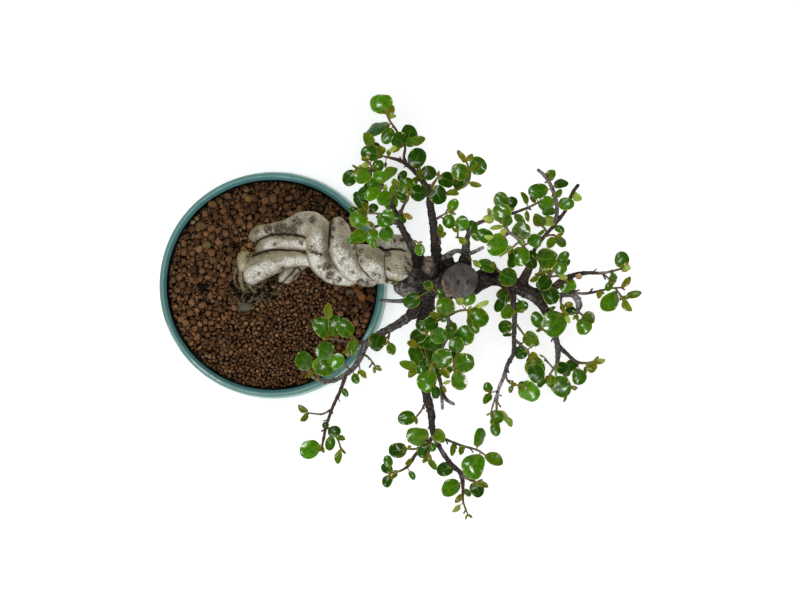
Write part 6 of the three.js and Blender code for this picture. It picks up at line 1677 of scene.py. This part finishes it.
def granule_forms():
    """Two layers of granules: a close top one and a lower one that fills its gaps."""
    rng = np.random.default_rng(77)
    top = scatter(rng, 11000, 0.68, 2.15, 0.8)
    low = scatter(rng, 6000, 0.7, 1.1, 0.72)
    made = []
    for layer, sunk in ((top, 0.35), (low, 1.25)):
        count = len(layer)
        z = soil_height(np.hypot(layer[:, 0], layer[:, 1])) - sunk + rng.uniform(-0.3, 0.45, count)
        centres = np.column_stack([layer[:, :2], z])
        sizes = layer[:, 2:] * rng.uniform(0.78, 1.18, (count, 3)) * (1, 1, 0.9)
        tone = GRANULE_TONES[rng.integers(0, len(GRANULE_TONES), count)]
        # Painted shadow: granules darker towards the back of the pot, under the trunk and crown
        back_shadow = 1 - 0.35 * step_between(layer[:, 1], 25, 48)
        tone = tone * rng.uniform(0.72, 1.25, (count, 1)) * (back_shadow * (1 - marked(centres, DARKER_SOIL)))[:, None]
        odd = rng.uniform(size=count)[:, None]
        tone = np.where(odd < 0.015, TAN_TONE, tone)
        tone = np.where(odd > 0.992, GREY_TONE, tone)
        made.append(lumps(centres, sizes, rng, 0.19, tone))
    return made


# Small things

# Stones, and chips with near-black lumps that stand for the shade in the heap's hollows: plan x and y,
# height above the soil, and for stones their sizes and colour. Callus by the sealed cut: plan x and y,
# height above the table, and sizes. All in millimetres but the plan
STONES = [
    (245.5, 307, 0.3, (4.2, 2.6, 0.9), (112, 116, 100)), (362, 297.5, 0.4, (2.4, 2.0, 1.5), (140, 88, 48)),
    (350, 293, 0.3, (2.4, 2.2, 1.4), (112, 96, 72)), (356.5, 290, 0.3, (1.9, 1.7, 1.3), (126, 84, 50)),
    (248.5, 199, 0.4, (2.3, 2.0, 1.6), (116, 84, 52)), (207, 245, 0.3, (2.7, 2.2, 1.3), (108, 94, 58)),
    (201, 226, 0.3, (2.9, 2.3, 1.4), (98, 80, 50)), (212, 204, 0.4, (2.2, 1.9, 1.5), (106, 78, 46)),
]
CALLUS = [
    (437.5, 286, 112.5, (1.3, 1.0, 0.7)), (449, 291, 111.5, (1.7, 1.3, 0.8)),
    (443, 289, 111.5, (1.2, 1.0, 0.7)), (430, 284, 113.0, (1.0, 1.2, 0.7)),
    (446.0, 288.5, 127.3, (1.5, 2.5, 1.3)), (449.5, 294.5, 127.0, (2.2, 1.4, 1.3)),
    (443.4, 283, 126.6, (1.0, 1.9, 1.3)),
]
CHIPS_AND_HOLLOWS = [
    (199, 285, 3.2), (203, 287.5, 3.4), (207, 285.5, 3.0), (233, 287, 1.5), (240, 295, 1.6), (247, 299, 1.7),
    (255, 302, 1.6), (259, 294, 1.8), (266, 298, 1.5), (270, 291, 1.3), (251, 290, 1.6), (263, 288, 1.5),
]

# The heap of dirt at the trunk's foot and the tuft where trunk meets crown: plan middle and reach
HEAP = (255.0, 293.5, 21.0, 8.5)
HEAP_TONES = tones(
    (22, 16, 10), (34, 26, 16), (60, 52, 30), (104, 96, 62), (46, 34, 22), (18, 14, 9), (38, 29, 19),
)
HEAP_COUNT = 260
TUFT = (397.0, 279.5, 8.5, 3.0)
TUFT_TONES = tones((84, 104, 44), (122, 128, 74), (58, 66, 34))
TUFT_COUNT = 46
FIBRE_COUNT = 70
ROOT_SIDES = 6
PALE_ROOTS = [
    ([(241.5, 272, 3.6), (242, 282, 3.4), (244.5, 291, 1.8)], (1.2, 1.1, 0.7)),
    ([(237, 268, 2.6), (235, 278, 2.4), (237, 287, 1.2)], (0.7, 0.6, 0.3)),
    ([(249, 283, 2.6), (254, 291, 2.2), (262, 295, 1.2)], (0.8, 0.6, 0.3)),
]
SURFACE_ROOTS = [
    ([(225, 239, 1.5), (222, 247, 2.2), (221.5, 255, 1.8), (217, 262, 2.4), (216, 270, 1.6), (212, 284, 1.8)],
     (0.2, 0.3, 0.34, 0.34, 0.3, 0.24)),
    ([(220, 258, 2.0), (217, 264, 2.0), (214, 268, 1.4)], (0.26, 0.22, 0.15)),
    ([(216, 270, 1.6), (218, 276, 1.8), (216, 281, 1.4)], (0.26, 0.22, 0.15)),
    ([(222, 246, 2.1), (226, 242, 1.6), (228, 237, 1.5)], (0.24, 0.2, 0.14)),
    ([(236, 285, 2.0), (231, 293, 1.8), (233, 302, 1.4), (240, 308, 1.8)], (0.4, 0.36, 0.3, 0.2)),
    ([(276, 291, 2.4), (270, 298, 2.0), (262, 301, 1.6)], (0.4, 0.34, 0.24)),
]


def odd_forms():
    """Stones and larger granules on the soil, and the callus that rolls over the sealed cut's edge."""
    rng = np.random.default_rng(15)
    sizes = np.array([row[3] for row in STONES])
    tone = tones(*(row[4] for row in STONES))
    stones = lumps(soil_place([row[:3] for row in STONES]), sizes, rng, 0.1, tone, level=True)
    sizes = np.array([row[3] for row in CALLUS])
    callus = lumps(place([row[:3] for row in CALLUS]), sizes, rng, 0.1, level=True)
    callus["values"] = {"skin": callus["points"]}
    return stones, callus


def nick_form():
    """Painted shade: two narrow dark slivers laid in the sealed cut's nicks."""
    rng = np.random.default_rng(18)
    middles = place([(*nick, CUT_TOP - 0.1) for nick in NICKS])
    sizes = np.array([[0.38, 1.45, 0.3]] * len(NICKS))
    slivers = lumps(middles, sizes, rng, 0.08, level=True)
    slivers["values"] = {"nick": np.ones(len(slivers["points"]))}
    return slivers


def chip_form():
    """Dark chips on the soil, and near-black lumps under the heap's fibres that stand for the shade in its
    hollows: painted shade.
    """
    rng = np.random.default_rng(8)
    sizes = rng.uniform(0.7, 1.2, (len(CHIPS_AND_HOLLOWS), 1)) * (1.9, 1.4, 1.0)
    return lumps(soil_place(CHIPS_AND_HOLLOWS), sizes, rng, 0.3)


def moss_form():
    """Dirt and moss crumbs heaped at the foot of the roots, and a green tuft where trunk meets crown."""
    rng = np.random.default_rng(16)
    x, y, wide, high = HEAP
    turn, reach = rng.uniform(0, 2 * np.pi, HEAP_COUNT), np.sqrt(rng.uniform(0, 1, HEAP_COUNT))
    up = rng.uniform(-0.2, 1.9, HEAP_COUNT) * (1.1 - reach)
    plan = np.column_stack([x + wide * reach * np.cos(turn), y + high * reach * np.sin(turn), up])
    size = rng.uniform(0.45, 1.25, HEAP_COUNT)[:, None] * rng.uniform(0.6, 1.3, (HEAP_COUNT, 3))
    tone = HEAP_TONES[rng.integers(0, len(HEAP_TONES), HEAP_COUNT)]
    heap = lumps(soil_place(plan), size, rng, 0.25, tone)
    x, y, wide, high = TUFT
    turn, reach = rng.uniform(0, 2 * np.pi, TUFT_COUNT), np.sqrt(rng.uniform(0, 1, TUFT_COUNT))
    along = wide * reach * np.cos(turn)
    up = rng.uniform(103.5, 105.8, TUFT_COUNT)
    middles = place(np.column_stack([x + along, y + high * reach * np.sin(turn) - 0.25 * along, up]))
    size = rng.uniform(0.35, 0.8, (TUFT_COUNT, 3))
    tone = TUFT_TONES[rng.integers(0, 3, TUFT_COUNT)]
    return gather([heap, lumps(middles, size, rng, 0.25, tone)])


def root_forms():
    """Fine roots over the soil, and pale roots and loose fibres that curl through the heap."""
    rng = np.random.default_rng(17)
    x, y, wide, high = HEAP
    routes = SURFACE_ROOTS + PALE_ROOTS
    for _ in range(FIBRE_COUNT):
        turn, reach = rng.uniform(0, 2 * np.pi), math.sqrt(rng.uniform(0, 1))
        heading, bend = rng.uniform(0, 2 * np.pi), rng.uniform(-1.2, 1.2)
        turned = heading + bend * np.arange(4)
        plan = np.column_stack([
            x + wide * reach * np.cos(turn) + np.cumsum(np.cos(turned)) * rng.uniform(1.5, 4),
            y + high * reach * np.sin(turn) + np.cumsum(np.sin(turned)) * rng.uniform(1.2, 3),
            rng.uniform(0.6, 2.8, 4),
        ])
        routes.append((plan, (0.17, 0.25, 0.2, 0.12)))
    forms = []
    for plan, radii in routes:
        limb = tube(soil_place(plan), radii, ROOT_SIDES)
        grid = surface(limb, 0.12 * ripples(limb["skin"], 1.4, 3))
        plain = np.zeros(grid.shape[:2])
        forms.append(form(grid, limb["start"], limb["end"], skin=limb["skin"], fresh=plain, weather=plain))
    return gather(forms[:len(SURFACE_ROOTS)]), gather(forms[len(SURFACE_ROOTS):])


# The whole plant

SILVER = silver_bark()
CROWN_BARK = dark_bark("crown bark", 0.55, (14, 10, 9), (53, 45, 39), (118, 107, 97))
TWIG_BARK = dark_bark("twig bark", 1.1, (20, 15, 13), (50, 43, 38), (128, 118, 108))
ROOT_BARK = dark_bark("fine root", 1.4, (62, 44, 30), (104, 80, 54), (150, 124, 88))
FIBRE = dark_bark("loose fibre", 1.4, (100, 86, 62), (170, 156, 120), (216, 208, 178))
CALLUS_BARK = dark_bark("callus", 1.0, (104, 80, 66), (158, 134, 118), (196, 176, 162))
PALE_WOOD = dark_bark("pale wood", 1.2, (176, 138, 92), (222, 190, 148), (240, 220, 184))
DARK_WOOD = dark_bark("dark wood", 0.8, (8, 6, 6), (30, 25, 24), (54, 47, 45))
LEAF = leaf_skin()
GLAZE = teal_glaze()
GRANULE = baked_clay("baked clay granules")
BED = baked_clay("fine soil")
MOSS = baked_clay("moss and dirt")
PASTE = wound_paste()
PLASTIC = mesh_plastic()

strands_form, bark_form = trunk_pieces()
stones_form, callus_form = odd_forms()
roots_form, fibres_form = root_forms()
piece("trunk_strands", strands_form, SILVER, "trunk")
piece("crown_bark", bark_form, CROWN_BARK, "trunk")
piece("pot_body", pot_form(), GLAZE, "pot")
piece("soil_bed", soil_bed_form(), BED, "soil")
for name, layer in zip(("granules_top", "granules_low"), granule_forms()):
    piece(name, layer, GRANULE, "soil").data.shade_flat()
piece("cut_seal", cut_form(), PASTE, "cut_paste")
piece("cut_nicks", nick_form(), PASTE)
piece("stones", stones_form, GRANULE)
piece("callus", callus_form, CALLUS_BARK)
piece("moss_and_dirt", moss_form(), MOSS)
piece("fine_roots", roots_form, ROOT_BARK)
piece("loose_fibres", fibres_form, FIBRE)
piece("healed_wound", wound_form((579, 276.6, 112.6), (0.1, -0.35, 1.0), 1.45, 0.3), PALE_WOOD)
piece("hollow_wound", wound_form((492.5, 272.5, 118.6), (0.35, 0.15, 1.0), 3.3, -0.25), DARK_WOOD)
piece("dark_chips_and_hollow_shade", chip_form(), DARK_WOOD)
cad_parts["drain_mesh"].data.materials.clear()
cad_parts["drain_mesh"].data.materials.append(PLASTIC)

for branch, (seed, twigs, leaves) in BRANCHES.items():
    short = branch.replace("branch_", "")
    blades = leaf_form(seed, leaves + EXTRA_LEAVES[branch], twigs)
    piece("twigs_" + short, twig_form(seed, twigs), TWIG_BARK, branch)
    sharpen_edges(piece("leaves_" + short, blades, LEAF, branch))


# Floor, light and camera

FLOOR_REACH = 4.0
FLOOR_GLOW = 0.42

# What the lights aim at, in metres
CROWN = np.array([0.0, 0.0, 0.08])


def stage_floor():
    mesh = bpy.data.meshes.new("floor")
    corners = [(x * FLOOR_REACH, y * FLOOR_REACH, 0.0) for x, y in ((-1, -1), (1, -1), (1, 1), (-1, 1))]
    mesh.from_pydata(corners, [], [(0, 1, 2, 3)])
    material, w, join = new_material("white sweep", Specular_IOR_Level=0.0, Roughness=1.0,
                                     Emission_Strength=FLOOR_GLOW)
    grain = w.noise(w.spot(), 3.0, 2.0)
    white = w.mix(grain, (0.93, 0.93, 0.935, 1.0), (0.95, 0.95, 0.952, 1.0))
    join(Base_Color=white, Emission_Color=white)
    mesh.materials.append(material)
    floor = bpy.data.objects.new("floor", mesh)
    bpy.context.scene.collection.objects.link(floor)


def soft_light(name, place_m, width, power):
    light = bpy.data.lights.new(name, "AREA")
    light.shape = "DISK"
    light.size = width
    light.energy = power
    made = bpy.data.objects.new(name, light)
    bpy.context.scene.collection.objects.link(made)
    made.location = place_m
    away = np.array(place_m) - CROWN
    flat = math.hypot(away[0], away[1])
    made.rotation_euler = (math.atan2(flat, away[2]), 0.0, math.atan2(away[1], away[0]) + math.pi / 2)


def stage_world():
    """A white room that is dimmer overhead: brightness blends with the height of the direction."""
    world = bpy.data.worlds.new("white room")
    world.use_nodes = True
    w = Wiring(world.node_tree)
    height = w.apart(w.node("ShaderNodeTexCoord", {}, 0))[2]
    background = world.node_tree.nodes["Background"].inputs
    feed(world.node_tree, background["Strength"], w.between(height, 0.05, 0.7, 0.75, 0.06))
    feed(world.node_tree, background["Color"], (1.0, 1.0, 1.0, 1.0))
    bpy.context.scene.world = world


def stage_camera():
    """Straight above the plant, at the eye of the plan: half a millimetre of its level for a pixel."""
    lens = bpy.data.cameras.new("top view")
    lens.sensor_width = 36.0
    lens.lens = lens.sensor_width * (EYE_HEIGHT - PLAN_LEVEL) / (PLAN_WIDTH * PLAN_STEP)
    lens.clip_start = 0.05
    lens.clip_end = 50.0
    camera = bpy.data.objects.new("top view", lens)
    bpy.context.scene.collection.objects.link(camera)
    camera.location = (POT_MIDDLE + np.array([*EYE_FROM_POT, EYE_HEIGHT]) / 1000).tolist()
    bpy.context.scene.camera = camera


stage_floor()
stage_world()
soft_light("key", (-0.45, -1.0, 1.05), 0.55, 9.0)
soft_light("back left", (-0.45, 0.55, 1.35), 0.45, 4.5)
soft_light("over", (-0.06, 0.04, 1.6), 0.42, 8.0)
stage_camera()
bpy.context.scene.view_settings.view_transform = "Standard"
